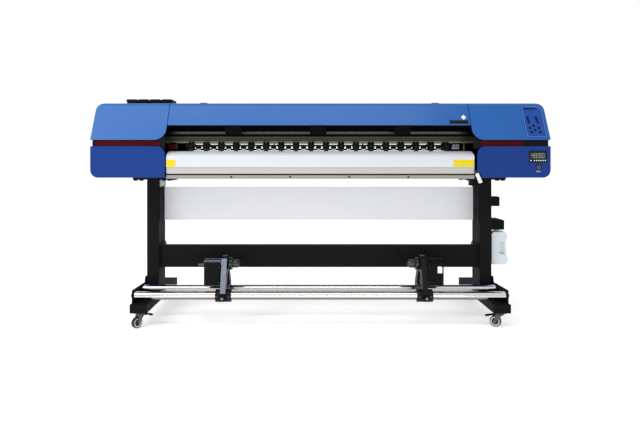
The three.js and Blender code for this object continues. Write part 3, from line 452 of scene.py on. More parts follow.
# ---------------------------------------------------------------- camera, lights and floor
def studio():
    """The photograph's level camera, a pale floor, and soft light that comes mostly from above and the left."""
    scene = bpy.context.scene
    scene.view_settings.view_transform = "Standard"

    camera = bpy.data.cameras.new("camera")
    camera.sensor_width = 36.0
    camera.lens = 30.77
    camera.shift_x = 0.01875
    camera.shift_y = -0.0852
    eye = bpy.data.objects.new("camera", camera)
    eye.location = (-0.072, -3.575, 0.996)
    eye.rotation_euler = (math.pi / 2, 0, 0)
    scene.collection.objects.link(eye)
    scene.camera = eye

    world = bpy.data.worlds.new("studio")
    world.use_nodes = True
    nodes, links = world.node_tree.nodes, world.node_tree.links
    backdrop, ambient = nodes["Background"], nodes.new("ShaderNodeBackground")
    backdrop.inputs["Color"].default_value = (1.0, 1.0, 1.0, 1.0)
    backdrop.inputs["Strength"].default_value = 1.0
    ambient.inputs["Color"].default_value = (0.96, 0.98, 1.0, 1.0)
    ambient.inputs["Strength"].default_value = 0.78
    path, choice = nodes.new("ShaderNodeLightPath"), nodes.new("ShaderNodeMixShader")
    links.new(path.outputs["Is Camera Ray"], choice.inputs["Fac"])
    links.new(ambient.outputs["Background"], choice.inputs[1])
    links.new(backdrop.outputs["Background"], choice.inputs[2])
    links.new(choice.outputs["Shader"], nodes["World Output"].inputs["Surface"])
    scene.world = world

    def softbox(name, place, target, size, power):
        lamp = bpy.data.lights.new(name, "AREA")
        lamp.shape = "RECTANGLE"
        lamp.size, lamp.size_y = size
        lamp.energy = power
        obj = bpy.data.objects.new(name, lamp)
        obj.location = place
        obj.rotation_euler = (Vector(target) - Vector(place)).to_track_quat("-Z", "Y").to_euler()
        scene.collection.objects.link(obj)

    softbox("key_left", (-3.0, -2.4, 2.6), (-1.0, -0.3, 1.0), (1.6, 1.4), 52)
    softbox("top", (-0.85, -1.6, 3.6), (-0.85, -0.3, 1.1), (4.2, 1.2), 42)
    softbox("low_front", (0, -3.3, 0.12), (0, 0.05, 0.65), (3.4, 0.3), 22)

    bm = bmesh.new()
    bmesh.ops.create_circle(bm, cap_ends=True, segments=64, radius=40.0)
    mesh = bpy.data.meshes.new("floor")
    bm.to_mesh(mesh)
    bm.free()
    floor = bpy.data.objects.new("floor", mesh)
    scene.collection.objects.link(floor)
    finish = surface("floor_white", (250, 250, 250), 0.7, grain=60, relief=0.0, mottle=0.5, shade=0.01, emission=0.4)
    mesh.materials.append(finish)


# ---------------------------------------------------------------- stand
FOOT_BEAM = 50 * MM
TUBES = ("front_takeup_tube", "rear_takeup_tube")


def tube(node):
    """A polished tube with a bore and rounded rims."""
    low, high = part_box(node)
    radius = (high.z - low.z) / 2
    bore = radius - 2.5 * MM
    length = high.x - low.x
    rim = 0.8 * MM
    centre = middle(node)
    bm = bmesh.new()
    profile = [(0, bore), (0, radius - rim), (rim, radius), (length - rim, radius), (length, radius - rim)]
    add_turned(bm, profile + [(length, bore)], (low.x, centre.y, centre.z), X, 64)
    shape(node + "_skin", bm, CHROME_WITH_PAINTED_REFLECTION, BODY_OF[node], (node,))


def stand():
    for side, sign in SIDES:
        leg, foot = side + "_leg", side + "_foot"
        refined(leg, BLACK_COAT, 1.5 * MM)
        refined(foot, BLACK_COAT, 1.5 * MM)
        leg_low, leg_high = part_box(leg)
        foot_low, foot_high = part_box(foot)
        x = middle(foot).x
        beam_middle = foot_low.z + FOOT_BEAM / 2
        for end in (-1, 1):
            patch(
                f"{foot}_end_cap_{'front' if end < 0 else 'rear'}",
                (x, end * (foot_high.y - 0.5 * MM), beam_middle),
                (0, end, 0),
                (98 * MM, 48 * MM, 3 * MM),
                BLACK_PLASTIC,
                corner=5 * MM,
                bevel=1.2 * MM,
            )
        flange_top = leg_low.z + 7.6 * MM
        base = [(x + a * 28 * MM, y, flange_top) for a in (-1, 1) for y in (-81 * MM, 101 * MM)]
        bolts(side + "_leg_base_bolts", base, Z, size=4.5 * MM)
        top_plate = leg_high.z - 26.6 * MM
        under = [(x + a * MM, y, top_plate) for a in (-108, -72, 72, 108) for y in (-88 * MM, -52 * MM, 108 * MM)]
        bolts(side + "_leg_top_bolts", under, -Z, size=5 * MM, material=BLACK_COAT)
        tube_ends = [(x + sign * FOOT_BEAM, middle(t).y, middle(t).z) for t in TUBES]
        bolts(side + "_tube_bolts", tube_ends, X * sign, size=6 * MM)
        beam_low, beam_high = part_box("cross_beam")
        seat_x = sign * (beam_high.x - 6 * MM)
        joint = [(seat_x, y, z) for y in (32 * MM, 68 * MM) for z in (beam_low.z + 18 * MM, beam_high.z - 18 * MM)]
        bolts(side + "_cross_beam_bolts", joint, -X * sign, size=5 * MM)
    refined("cross_beam", BLACK_COAT, 2 * MM)
    guide_low, guide_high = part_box("media_guide_plate")
    bracket = guide_high.x - 5 * MM
    refined("media_guide_plate", GUIDE_WHITE, 0.8 * MM, also=((BLACK_COAT, lambda c: abs(c.x) > bracket),))
    left_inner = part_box("left_foot")[1].x - 7 * MM
    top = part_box("left_leg")[1].z - 28 * MM
    plate_z = top - 24 * MM
    place = (left_inner, 10 * MM, plate_z)
    patch("left_leg_gland_plate", place, X, (146 * MM, 44 * MM, 2 * MM), ALUMINIUM, corner=3 * MM, bevel=0.5 * MM)
    corners = [(left_inner + 2 * MM, 10 * MM + a * 62 * MM, plate_z + b * 14 * MM) for a in (-1, 1) for b in (-1, 1)]
    screws("left_leg_gland_screws", corners, X, material=GROUND_STEEL)
    for node in TUBES:
        tube(node)


# ---------------------------------------------------------------- casters
def caster(name):
    """One swivel caster: fork, race, mounting plate, tyre on a light rim, axle nuts and the brake pedal."""
    fork, wheel = "caster_" + name, "wheel_" + name
    spin = JOINTS_AT[name + "_wheel_spin"]
    hub, axis = spin
    swivel = JOINTS_AT[name + "_swivel"][0]
    radius = hub.z
    fork_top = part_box("caster_fork_" + name)[1].z
    crown = Vector((swivel.x, swivel.y, 0)) - Vector((hub.x, hub.y, 0))
    ahead = crown.normalized()
    reach = crown.length
    turns = [math.pi + k * math.pi / 10 for k in range(11)]
    leg = [(8 * MM * math.cos(t), 8 * MM * math.sin(t)) for t in turns]
    leg += [(reach + 17 * MM, 74 * MM - radius), (reach - 21 * MM, 74 * MM - radius)]
    place = Matrix((ahead, Z, axis)).transposed().to_4x4()
    place.translation = hub
    bm = bmesh.new()
    for side in (-1, 1):
        add_plate(bm, place, leg, side * 17.6 * MM - 1.3 * MM, 2.6 * MM)
    crown_plate = face_frame((swivel.x, swivel.y, 74 * MM), Z)
    add_plate(bm, crown_plate, rounded(39 * MM, 39 * MM, 8 * MM), -1.5 * MM, 3.5 * MM)
    shape(f"caster_fork_plates_{name}", bm, STEEL, fork, ("caster_fork_" + name,), 0.8 * MM)
    half = 12 * MM

    tyre = [(-half, 0.8), (-half, 0.93), (-0.72 * half, 0.99), (-0.3 * half, 1.0)]
    tyre += [(-along, r) for along, r in reversed(tyre)]
    bm = bmesh.new()
    add_turned(bm, [(along, r * radius) for along, r in tyre], hub, axis, 56)
    shape(f"caster_tyre_{name}", bm, RUBBER, wheel, ("caster_wheel_" + name,))

    rim = [(-13.2, 5), (-13.2, 9), (-9.5, 11), (-6, 13), (-6, 17.5), (-10.5, 20), (-11.9, 22), (-11.4, 26.4)]
    rim += [(-along, r) for along, r in reversed(rim)]
    bm = bmesh.new()
    add_turned(bm, [(along * MM, r * MM) for along, r in rim], hub, axis, 48)

    def dish(centre):
        return (centre - hub).cross(axis).length < 20.5 * MM

    shape(f"caster_rim_{name}", bm, RIM_PLASTIC, wheel, bevel=0.4 * MM, also=((RUBBER, dish),))

    bm = bmesh.new()
    for side in (-1, 1):
        add_hex_bolt(bm, hub + axis * side * 20.5 * MM, axis * side, 4 * MM)
    shape(f"caster_axle_nuts_{name}", bm, GROUND_STEEL, fork, bevel=0.3 * MM)

    race = [(0, 22.6), (0, 26), (1.5, 28), (3.5, 28), (4.5, 26.4), (5.5, 27.5), (8, 27.5), (9, 25), (9, 22.6)]
    bm = bmesh.new()
    add_turned(bm, [(along * MM, r * MM) for along, r in race], swivel + Z * (77 * MM - swivel.z), Z, 40)
    shape(f"caster_race_{name}", bm, STEEL, fork)

    seat = Vector((swivel.x, swivel.y, fork_top))
    bm = bmesh.new()
    add_plate(bm, face_frame(seat, Z), rounded(70 * MM, 62 * MM, 6 * MM), -3 * MM, 3 * MM)
    for a in (-1, 1):
        for b in (-1, 1):
            add_hex_bolt(bm, seat + Vector((a * 27, b * 23, -3)) * MM, -Z, 3 * MM)
    shape(f"caster_plate_{name}", bm, STEEL, bevel=0.5 * MM)

    if "caster_brake_" + name in NODES:
        refined("caster_brake_" + name, BLACK_PLASTIC, 1.6 * MM, segments=3)
        pedal_low, pedal_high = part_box("caster_brake_" + name)
        toe = pedal_high.x - 9 * MM if pedal_high.x - swivel.x > swivel.x - pedal_low.x else pedal_low.x + 9 * MM
        toe_y = (pedal_low.y + pedal_high.y) / 2
        bm = bmesh.new()
        blade = face_frame((toe, toe_y, pedal_high.z - 12 * MM), Z)
        add_plate(bm, blade, rounded(20 * MM, 26 * MM, 6 * MM), -3 * MM, 4 * MM)
        shape(f"caster_release_blade_{name}", bm, BLACK_PLASTIC, BODY_OF["caster_brake_" + name], bevel=1.2 * MM)


# ---------------------------------------------------------------- take-up system
def takeup(side, sign):
    """One take-up unit: cast arm, motor box, stepped core chuck and star knob. sign points outwards."""
    body = side + "_takeup"
    arm, motor = side + "_takeup_arm", side + "_takeup_motor"
    arm_low, arm_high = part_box(arm)
    x = middle(arm).x
    tube_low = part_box("front_takeup_tube")[0]
    tube_z = middle("front_takeup_tube").z
    edge_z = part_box("front_takeup_tube")[1].z + 18 * MM
    edge_y = tube_low.y + 62 * MM

    def painted_highlight_edge(centre):
        return abs(centre.x - x) < 13 * MM and centre.y < edge_y and centre.z > edge_z

    # painted highlight: only the left arm, on the lamp side, gets a light grey metal front edge; the right arm stays
    # black
    refined(arm, CAST_BLACK, 2.2 * MM, 3, also=((GREY_METAL_AND_PAINTED_HIGHLIGHT, painted_highlight_edge),) if side == "left" else ())
    collar = [(x + a * 34 * MM, tube_low.y - 13 * MM, tube_z) for a in (-1, 1)]
    screws(side + "_collar_screws", collar, -Y, body, 4.5 * MM, 3 * MM)

    motor_low, motor_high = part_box(motor)
    box_top = 378 * MM - DATUM
    case_end = 127 * MM
    # painted highlights on the left motor only, on the lamp side: its barrel top takes bright metal and its end past
    # the case takes steel
    bright = ((BARREL_PAINTED_HIGHLIGHT, lambda c: c.z > box_top + 1 * MM), (STEEL, lambda c: sign * (c.x - x) > case_end))
    refined(motor, BLACK_PLASTIC, 2.5 * MM, 3, also=bright if side == "left" else ())
    box_x = x + sign * 76 * MM
    box_front = -270 * MM
    box_z = (motor_low.z + 372 * MM - 13 * MM) / 2
    cover_size = (90 * MM, 108 * MM, 1.6 * MM)
    patch(side + "_motor_cover", (box_x, box_front, box_z), -Y, cover_size, BLACK_PLASTIC, body, 5 * MM, 0.6 * MM)
    corners = [(box_x + a * 39 * MM, box_front - 1.6 * MM, box_z + b * 47 * MM) for a in (-1, 1) for b in (-1, 1)]
    screws(side + "_motor_cover_screws", corners, -Y, body, 2.6 * MM, 1.2 * MM)
    if side == "right":
        label = (box_x + sign * 27 * MM, box_front - 1.5 * MM, box_z + 30 * MM)
        patch("right_motor_blank_label", label, -Y, (28 * MM, 40 * MM, 0.4 * MM), BLANK_LABEL, body, 2 * MM, 0)
    spindle, _ = JOINTS_AT[side + "_chuck_spin"]
    bm = bmesh.new()
    ring = [(-3.5, 24), (-3.5, 28.2), (-2.5, 29), (2.5, 29), (3.5, 28.2), (3.5, 24)]
    for offset in (24, 72, 120):
        centre = Vector((x + sign * offset * MM, spindle.y, spindle.z + 4 * MM))
        add_turned(bm, [(along * MM, r * MM) for along, r in ring], centre, X, 40)
    # painted highlight: the left barrel rings are bright metal, the right ones stay black
    shape(side + "_motor_barrel_rings", bm, BARREL_PAINTED_HIGHLIGHT if side == "left" else CAST_BLACK, body)
    profile = [(16, 0), (16, 13.5), (18.5, 14), (19, 34), (20.5, 37), (24, 37.5), (25, 36), (27, 36), (28, 37.5)]
    profile += [(33, 37.5), (34, 36), (36, 36), (37, 37.5), (40, 37.3), (41.5, 35), (43, 26), (43.5, 24.4), (45, 25)]
    profile += [(54, 25), (55, 24), (57, 24), (58, 25), (72, 25), (75, 24), (85, 17.8), (86, 16.8), (86, 8), (84, 7), (84, 0)]
    bm = bmesh.new()
    start = Vector((x, spindle.y, spindle.z))
    add_turned(bm, [(along * MM, r * MM) for along, r in profile], start, -X * sign, 64)
    shape(side + "_chuck_body", bm, CHUCK_BLACK, side + "_chuck", (side + "_core_chuck",), crease=24)
    bm = bmesh.new()
    add_hex_bolt(bm, start - X * sign * 84 * MM, -X * sign, 3.5 * MM)
    for turn in range(6):
        angle = math.radians(60 * turn + 15)
        spot = start + Vector((-sign * 43.2 * MM, 31 * MM * math.cos(angle), 31 * MM * math.sin(angle)))
        add_socket_screw(bm, spot, -X * sign, 2.8 * MM, 1.6 * MM)
    shape(side + "_chuck_fasteners", bm, STEEL, side + "_chuck", bevel=0.2 * MM)

    knob = side + "_clamp_knob"
    knob_low, knob_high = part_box(knob)
    centre = middle(knob)
    lobes, count = 6, 96
    outer = (knob_high.x - knob_low.x) / 2
    turns = [2 * math.pi * k / count for k in range(count)]
    star = [Vector((math.cos(t), math.sin(t))) * outer * (0.86 + 0.14 * math.cos(lobes * t)) for t in turns]
    bm = bmesh.new()
    place = face_frame((centre.x, knob_low.y, centre.z), -Y)
    add_plate(bm, place, star, -18 * MM, 18 * MM)
    shape(side + "_knob_star", bm, BLACK_PLASTIC, side + "_knob", (knob,), 2.4 * MM, 3, 40)
    bm = bmesh.new()
    add_rod(bm, 8 * MM, (centre.x, knob_high.y, centre.z), (centre.x, knob_low.y + 17 * MM, centre.z), 28, 0.8 * MM)
    cap = [(0, 0), (0, 9), (1, 8.6), (1.6, 6), (1.8, 0)]
    add_turned(bm, [(along * MM, r * MM) for along, r in cap], (centre.x, knob_low.y, centre.z), -Y, 28)
    shape(side + "_knob_stem", bm, GROUND_STEEL, side + "_knob")


# ---------------------------------------------------------------- covers and hood
RED_STRIP_X = {"left": (-1312 * MM, -935 * MM), "right": (936 * MM, 1182 * MM)}
HOOD_STAYS = (-512 * MM, -12 * MM, 485 * MM)


def covers():
    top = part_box("left_upper_cover")[1].z
    for side, sign in SIDES:
        upper, lower, end = side + "_upper_cover", side + "_lower_cover", side + "_end_frame"
        refined(upper, BLUE, 2 * MM, 3)
        refined(lower, DEEP_BLUE, 2 * MM, 3)
        refined(end, BLACK_COAT, 1 * MM)
        band_low, band_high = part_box(lower)[1].z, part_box(upper)[0].z
        x0, x1 = RED_STRIP_X[side]
        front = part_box(end)[0].y
        place = ((x0 + x1) / 2, front, (band_low + band_high) / 2 - 1.5 * MM)
        size = (x1 - x0, band_high - band_low - 8 * MM, 1.6 * MM)
        patch(side + "_red_strip", place, -Y, size, RED_STRIP, corner=3 * MM, bevel=0.5 * MM)
        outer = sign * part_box("right_lower_cover")[1].x
        lower_z = middle(lower).z
        facing = X * sign
        louvres(side + "_side_vent", (outer, 150 * MM, lower_z + 8 * MM), facing, 220 * MM, 92 * MM, 7, DEEP_BLUE)
        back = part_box(lower)[1].y
        louvres(side + "_rear_vent", (sign * 1.13, back, lower_z), Y, 240 * MM, 92 * MM, 7, DEEP_BLUE)
        upper_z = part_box(upper)[0].z + 20 * MM
        seats = [(outer, y * MM, upper_z) for y in (-330, -110, 110, 330)]
        seats += [(outer, y * MM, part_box(lower)[1].z - 22 * MM) for y in (-350, -120, 120, 350)]
        screws(side + "_side_screws", seats, facing)
        rear = [(sign * x * MM, back, z) for x in (950, 1130, 1300) for z in (upper_z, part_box(lower)[0].z + 26 * MM)]
        screws(side + "_rear_screws", rear, Y)

    def hinge(centre):
        return centre.z > top + 0.5 * MM

    refined("front_hood", BLUE, 1.6 * MM, 3, also=((BLACK_COAT, hinge),))
    refined("rear_cover", BLUE, 1.6 * MM, 3, also=((BLACK_COAT, hinge),))
    hood_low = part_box("front_hood")[0]
    stay = rounded(96 * MM, 58 * MM, 6 * MM)
    bm = bmesh.new()
    for x in HOOD_STAYS:
        place = face_frame((x, hood_low.y + 2.5 * MM, hood_low.z - 27 * MM), -Y)
        add_plate(bm, place, stay, -6 * MM, 5 * MM)
    # painted shade: the stays take the extra-dark black for the shade under the hood
    shape("hood_stays", bm, BLACK_AND_PAINTED_SHADE, "hood", bevel=1 * MM)
    slope = max((p for p in NODES["front_hood"].data.polygons if p.normal.y < -0.5), key=lambda p: p.area)

    def on_slope(x, z):
        rise = (z - slope.center.z) * slope.normal.z / slope.normal.y
        return (x, slope.center.y - rise, z)

    plain = (112 * MM, 24 * MM, 0.4 * MM)
    patch("hood_blank_strip", on_slope(0.819, 1.227 - DATUM), slope.normal, plain, GLOSS_BLACK, "hood", bevel=0)
    place = face_frame(on_slope(0.85, 1.256 - DATUM), slope.normal)
    diamond = [(-15 * MM, 0), (0, -17 * MM), (15 * MM, 0), (0, 17 * MM)]
    bm = bmesh.new()
    add_plate(bm, place, diamond, 0, 0.4 * MM)
    shape("hood_blank_diamond", bm, BLANK_LABEL, "hood")
    seal_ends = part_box("front_hood")
    seal = rounded(seal_ends[1].x - seal_ends[0].x - 12 * MM, 5 * MM, 2 * MM)
    bm = bmesh.new()
    add_plate(bm, face_frame((0.0, hood_low.y + 9 * MM, hood_low.z), -Z), seal, -0.5 * MM, 2.5 * MM)
    shape("hood_lip_seal", bm, RUBBER, "hood", bevel=0.8 * MM)


def rear_details():
    """Vents, a blank power inlet and the screws on the back of the machine."""
    low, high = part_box("rear_cover")
    back, z = high.y, (low.z + high.z) / 2
    for i in range(4):
        louvres(f"rear_grille_{i + 1}", ((i - 1.5) * 0.42, back, z), Y, 300 * MM, 84 * MM, 6, BLUE)
    seats = [(x * 0.17, back, edge) for x in range(-5, 6) for edge in (low.z + 14 * MM, high.z - 30 * MM)]
    screws("rear_cover_screws", seats, Y)
    inlet = (1.21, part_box("right_lower_cover")[1].y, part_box("right_lower_cover")[0].z + 90 * MM)
    patch("power_inlet_plate", (inlet[0] - 0.19, inlet[1], inlet[2] - 44 * MM), Y, (86 * MM, 46 * MM, 2 * MM), BLACK_PLASTIC)
    bm = bmesh.new()
    place = face_frame((inlet[0] - 0.19, inlet[1] + 2 * MM, inlet[2] - 44 * MM), Y)
    add_plate(bm, place, rounded(28 * MM, 22 * MM, 3 * MM, (-20 * MM, 0)), 0, 1.4 * MM)
    add_plate(bm, place, rounded(20 * MM, 26 * MM, 2 * MM, (22 * MM, 0)), 0, 3.0 * MM)
    shape("power_inlet_socket", bm, GLOSS_BLACK, bevel=0.5 * MM)


def rear_cover_seals():
    """Rubber strips inside, over the joints between the rear cover and the side covers."""
    low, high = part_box("rear_cover")
    front = high.y - 13 * MM
    on_side_cover, on_rear_cover = high.y - 5.2 * MM, high.y - 3.2 * MM
    for side, sign in SIDES:
        end = high.x if sign > 0 else low.x
        section = [(-6, front), (14, front), (14, on_rear_cover), (-0.5, on_rear_cover)]
        section += [(-0.5, on_side_cover), (-6, on_side_cover)]
        bm = bmesh.new()
        points = [(end - sign * inwards * MM, y) for inwards, y in section]
        add_prism(bm, points, low.z + 5 * MM, high.z - 5 * MM, along_z)
        shape(side + "_rear_cover_seal", bm, RUBBER)


# ---------------------------------------------------------------- printing beam, platen and media path
def long_strip(name, section, material, x0, x1, also=(), bevel=0.4 * MM):
    """A section in (y, z) run along X."""
    bm = bmesh.new()
    add_prism(bm, [Vector(p) for p in section], x0, x1, along_x)
    return shape(name, bm, material, bevel=bevel, also=also)


def gantry():
    # painted shade: the gantry beam takes the extra-dark black for the shade under the hood
    refined("gantry_beam", BLACK_AND_PAINTED_SHADE, 1 * MM)
    low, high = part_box("gantry_beam")
    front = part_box("guide_rail")[1].y + 0.4 * MM
    bottom = 1105 * MM - DATUM
    band = [(0, 0.5), (-4, 0.5), (-4, 12), (-2.4, 13), (-2.4, 14.5), (-4, 15.5), (-4, 24), (-2, 25.5), (-2, 28)]
    band += [(-3.4, 29), (-3.4, 40), (-2, 41.5), (0, 41.5)]
    section = [(front + y * MM, bottom + z * MM) for y, z in band]

    def bright(centre):
        return centre.z < bottom + 12.5 * MM and centre.y < front - 3.5 * MM

    end = high.x - 4 * MM
    long_strip("beam_extrusion", section, ANODISED, -end, end, ((BRIGHT_BAND, bright),))

    rail_low, rail_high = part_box("guide_rail")
    y0, y1, z0, z1 = rail_low.y, rail_high.y, rail_low.z, rail_high.z
    profile = [(y1, z0), (y0 + 1 * MM, z0), (y0, z0 + 1 * MM), (y0, z0 + 4 * MM), (y0 + 2.5 * MM, z0 + 6 * MM)]
    profile += [(y, z0 + z1 - z) for y, z in reversed(profile)]
    bm = bmesh.new()
    add_prism(bm, [Vector(p) for p in profile], rail_low.x, rail_high.x, along_x)
    shape("guide_rail_profile", bm, GROUND_STEEL, replaces=("guide_rail",), bevel=0.3 * MM)
    middle_z = (z0 + z1) / 2
    count = 42
    step = (rail_high.x - rail_low.x - 40 * MM) / (count - 1)
    seats = [(rail_low.x + 20 * MM + i * step, y0 + 2.5 * MM, middle_z) for i in range(count)]
    screws("guide_rail_screws", seats, -Y, radius=2.6 * MM, height=1.2 * MM, material=BLACK_COAT)


def platen():
    low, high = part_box("print_platen")
    front, top, bottom = low.y, high.z, low.z
    groove = 962 * MM - DATUM

    def lower_band(centre):
        return centre.z < groove - 2 * MM

    # painted shade: the platen's lower band, under the groove, takes the darker grey copy of the white paint
    refined("print_platen", WHITE_PAINT, 0.8 * MM, 2, 40, ((PLATEN_SHADE, lower_band),))
    refined("rear_platen", WHITE_PAINT, 0.8 * MM, 2, 40)
    patch(
        "platen_groove",
        ((low.x + high.x) / 2, front + 1.5 * MM, groove - 1 * MM),
        -Y,
        (high.x - low.x - 1 * MM, 3.2 * MM, 0.6 * MM),
        ALUMINIUM,
        corner=0.5 * MM,
        bevel=0,
    )
    depth, height = 95 * MM, 46 * MM
    steps = 14
    turns = [k / steps * math.pi / 2 for k in range(steps + 1)]
    nose = [(front + depth - depth * math.sin(t), top - height + height * math.cos(t)) for t in turns]
    cheek = [(high.y - 1 * MM, bottom + 2 * MM), (high.y - 1 * MM, top)] + nose
    cheek += [(front, groove), (front + 3 * MM, groove - 4 * MM), (front + 6 * MM, bottom + 2 * MM)]
    bm = bmesh.new()
    for x in (low.x, high.x - 2.5 * MM):
        add_prism(bm, [Vector(p) for p in cheek], x, x + 2.5 * MM, along_x)
    shape("platen_cheeks", bm, IVORY, bevel=0.5 * MM, crease=40)

    patch_z = groove + 22 * MM
    patch_y = front - 0.1 * MM
    patch("left_yellow_patch", (low.x + 28 * MM, patch_y, patch_z), -Y, (54 * MM, 40 * MM, 0.5 * MM), YELLOW, bevel=0)
    patch("right_yellow_patch", (high.x - 62 * MM, patch_y, patch_z), -Y, (118 * MM, 40 * MM, 0.5 * MM), YELLOW, bevel=0)

    apron_low, apron_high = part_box("platen_apron")
    lip = apron_high.z - 5.5 * MM
    refined("platen_apron", APRON_GREY, 0.5 * MM, also=((SHADOW_GAP, lambda c: c.z > lip),))
    seats = [(x * MM, apron_low.y, apron_low.z + 11 * MM) for x in (-519, -176, 168, 513)]
    screws("apron_screws", seats, -Y, radius=5.5 * MM, height=1.8 * MM, material=BLACK_COAT)
    comb = bmesh.new()
    for i in range(9):
        tooth = face_frame((high.x - (12 + 9.5 * i) * MM, apron_low.y, apron_low.z - 3 * MM), -Y)
        add_plate(comb, tooth, rounded(5 * MM, 9 * MM, 1 * MM), -3 * MM, 3 * MM)
    shape("apron_terminal_comb", comb, BLACK_PLASTIC, bevel=0.4 * MM)
    clip = (low.x + 24 * MM, apron_low.y - 1 * MM, apron_low.z - 4 * MM)
    patch("apron_left_clip", clip, -Y, (64 * MM, 7 * MM, 3 * MM), BLACK_PLASTIC, corner=2 * MM, bevel=0.6 * MM)

    # painted shade: each vacuum hole is drawn as a thin black disc on the platen top
    holes = bmesh.new()
    pitch = 26 * MM
    count = int((high.x - low.x - 60 * MM) / pitch)
    rows = [high.y - 6 * MM] + [-0.215 + 0.055 * k for k in range(6)]
    for row, y in enumerate(rows):
        for i in range(count):
            x = low.x + 30 * MM + (i + 0.5 * (row % 2)) * pitch
            add_turned(holes, [(0, 0), (0, 2.0 * MM), (0.15 * MM, 1.8 * MM), (0.15 * MM, 0)], (x, y, top), Z, 8)
    shape("vacuum_hole_painted_shade", holes, BLACK_PLASTIC)


def pinch_units():
    """Eighteen spring-loaded arms on one steel shaft, with rubber rollers and pale spacers on one axle."""
    refined("pinch_arms", BLACK_PLASTIC, 0.8 * MM)
    spin, _ = JOINTS_AT["pinch_spin"]
    lift, _ = JOINTS_AT["pinch_lift"]
    low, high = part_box("pinch_rollers")
    radius = (high.z - low.z) / 2
    first, count, pitch = low.x + 22 * MM, 18, 90.7 * MM
    centres = [first + i * pitch for i in range(count)]
    bodies, bumps, springs = bmesh.new(), bmesh.new(), bmesh.new()
    rollers, spacers = bmesh.new(), bmesh.new()
    for x in centres:
        for side in (-1, 1):
            foot = [(-10, -4.5), (-10, 2.5), (-4, 6), (12, 6), (12, -4.5)]
            section = [Vector((spin.y + y * MM, spin.z + z * MM)) for y, z in foot]
            x0 = x + side * 16 * MM if side > 0 else x - 31 * MM
            add_prism(bodies, section, x0, x0 + 15 * MM, along_x)
            knuckle = (x + side * 4 * MM, spin.y + 2 * MM, lift.z + 16 * MM)
            add_rod(bumps, 6 * MM, knuckle, Vector(knuckle) + X * side * 13 * MM, 20, 1.2 * MM)
        bridge = [(-10.5, 16), (-10.5, 26), (-4, 30), (6, 30), (6, 16)]
        section = [Vector((spin.y + y * MM, spin.z + z * MM)) for y, z in bridge]
        add_prism(bodies, section, x - 23 * MM, x + 23 * MM, along_x)
        add_socket_screw(springs, (x, spin.y - 10.5 * MM, spin.z + 21 * MM), -Y, 3 * MM, 1.4 * MM)
        tread = [(-13, 2.5), (-13, 8.2), (-12.2, 9), (-5, 9), (-4.4, 8.2), (-3.8, 9)]
        tread += [(-along, r) for along, r in reversed(tread)]
        add_turned(rollers, [(along * MM, r * MM) for along, r in tread], (x, spin.y, spin.z), X, 28)
    for left, right in zip(centres, centres[1:]):
        x0, x1 = left + 32 * MM, right - 32 * MM
        add_rod(spacers, 6 * MM, (x0, spin.y, spin.z), (x1, spin.y, spin.z), 24, 0.8 * MM)
        between = (left + right) / 2
        guard = [(-7, 6), (-9, 8), (-9, 18), (-6, 20.5), (8, 20.5), (8, 6)]
        section = [Vector((spin.y + y * MM, spin.z + z * MM)) for y, z in guard]
        add_prism(bodies, section, between - 16 * MM, between + 16 * MM, along_x)
    axle = bmesh.new()
    add_rod(axle, 2.5 * MM, (low.x, spin.y, spin.z), (high.x, spin.y, spin.z), 16, 0.4 * MM)
    shape("pinch_roller_tyres", rollers, RUBBER, "pinch_roller_set", ("pinch_rollers",))
    shape("pinch_axle", axle, GROUND_STEEL, "pinch_roller_set")
    shape("pinch_spacers", spacers, IVORY, "pinch_roller_set")
    shape("pinch_unit_shoes", bodies, BLACK_PLASTIC, "pinch_frame", bevel=0.8 * MM)
    shape("pinch_unit_knuckles", bumps, BLACK_PLASTIC, "pinch_frame")
    shape("pinch_unit_screws", springs, STEEL, "pinch_frame")
    shaft = bmesh.new()
    shaft_low, shaft_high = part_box("pinch_arms")
    add_rod(shaft, 5.3 * MM, (shaft_low.x, lift.y, lift.z), (shaft_high.x, lift.y, lift.z), 28, 0.8 * MM)
    shape("pinch_shaft", shaft, GROUND_STEEL, "pinch_frame")


def feed_roller():
    low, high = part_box("feed_roller")
    centre = middle("feed_roller")
    radius = (high.z - low.z) / 2
    length = high.x - low.x
    neck = 14 * MM
    profile = [(0, 0), (0, 7.4 * MM), (0.6 * MM, 8 * MM), (neck, 8 * MM), (neck, radius - 1 * MM), (neck + 1 * MM, radius)]
    profile += [(length - along, r) for along, r in reversed(profile)]
    bm = bmesh.new()
    add_turned(bm, profile, (low.x, centre.y, centre.z), X, 56)
    shape("feed_roller_drum", bm, GROUND_STEEL, BODY_OF["feed_roller"], ("feed_roller",))


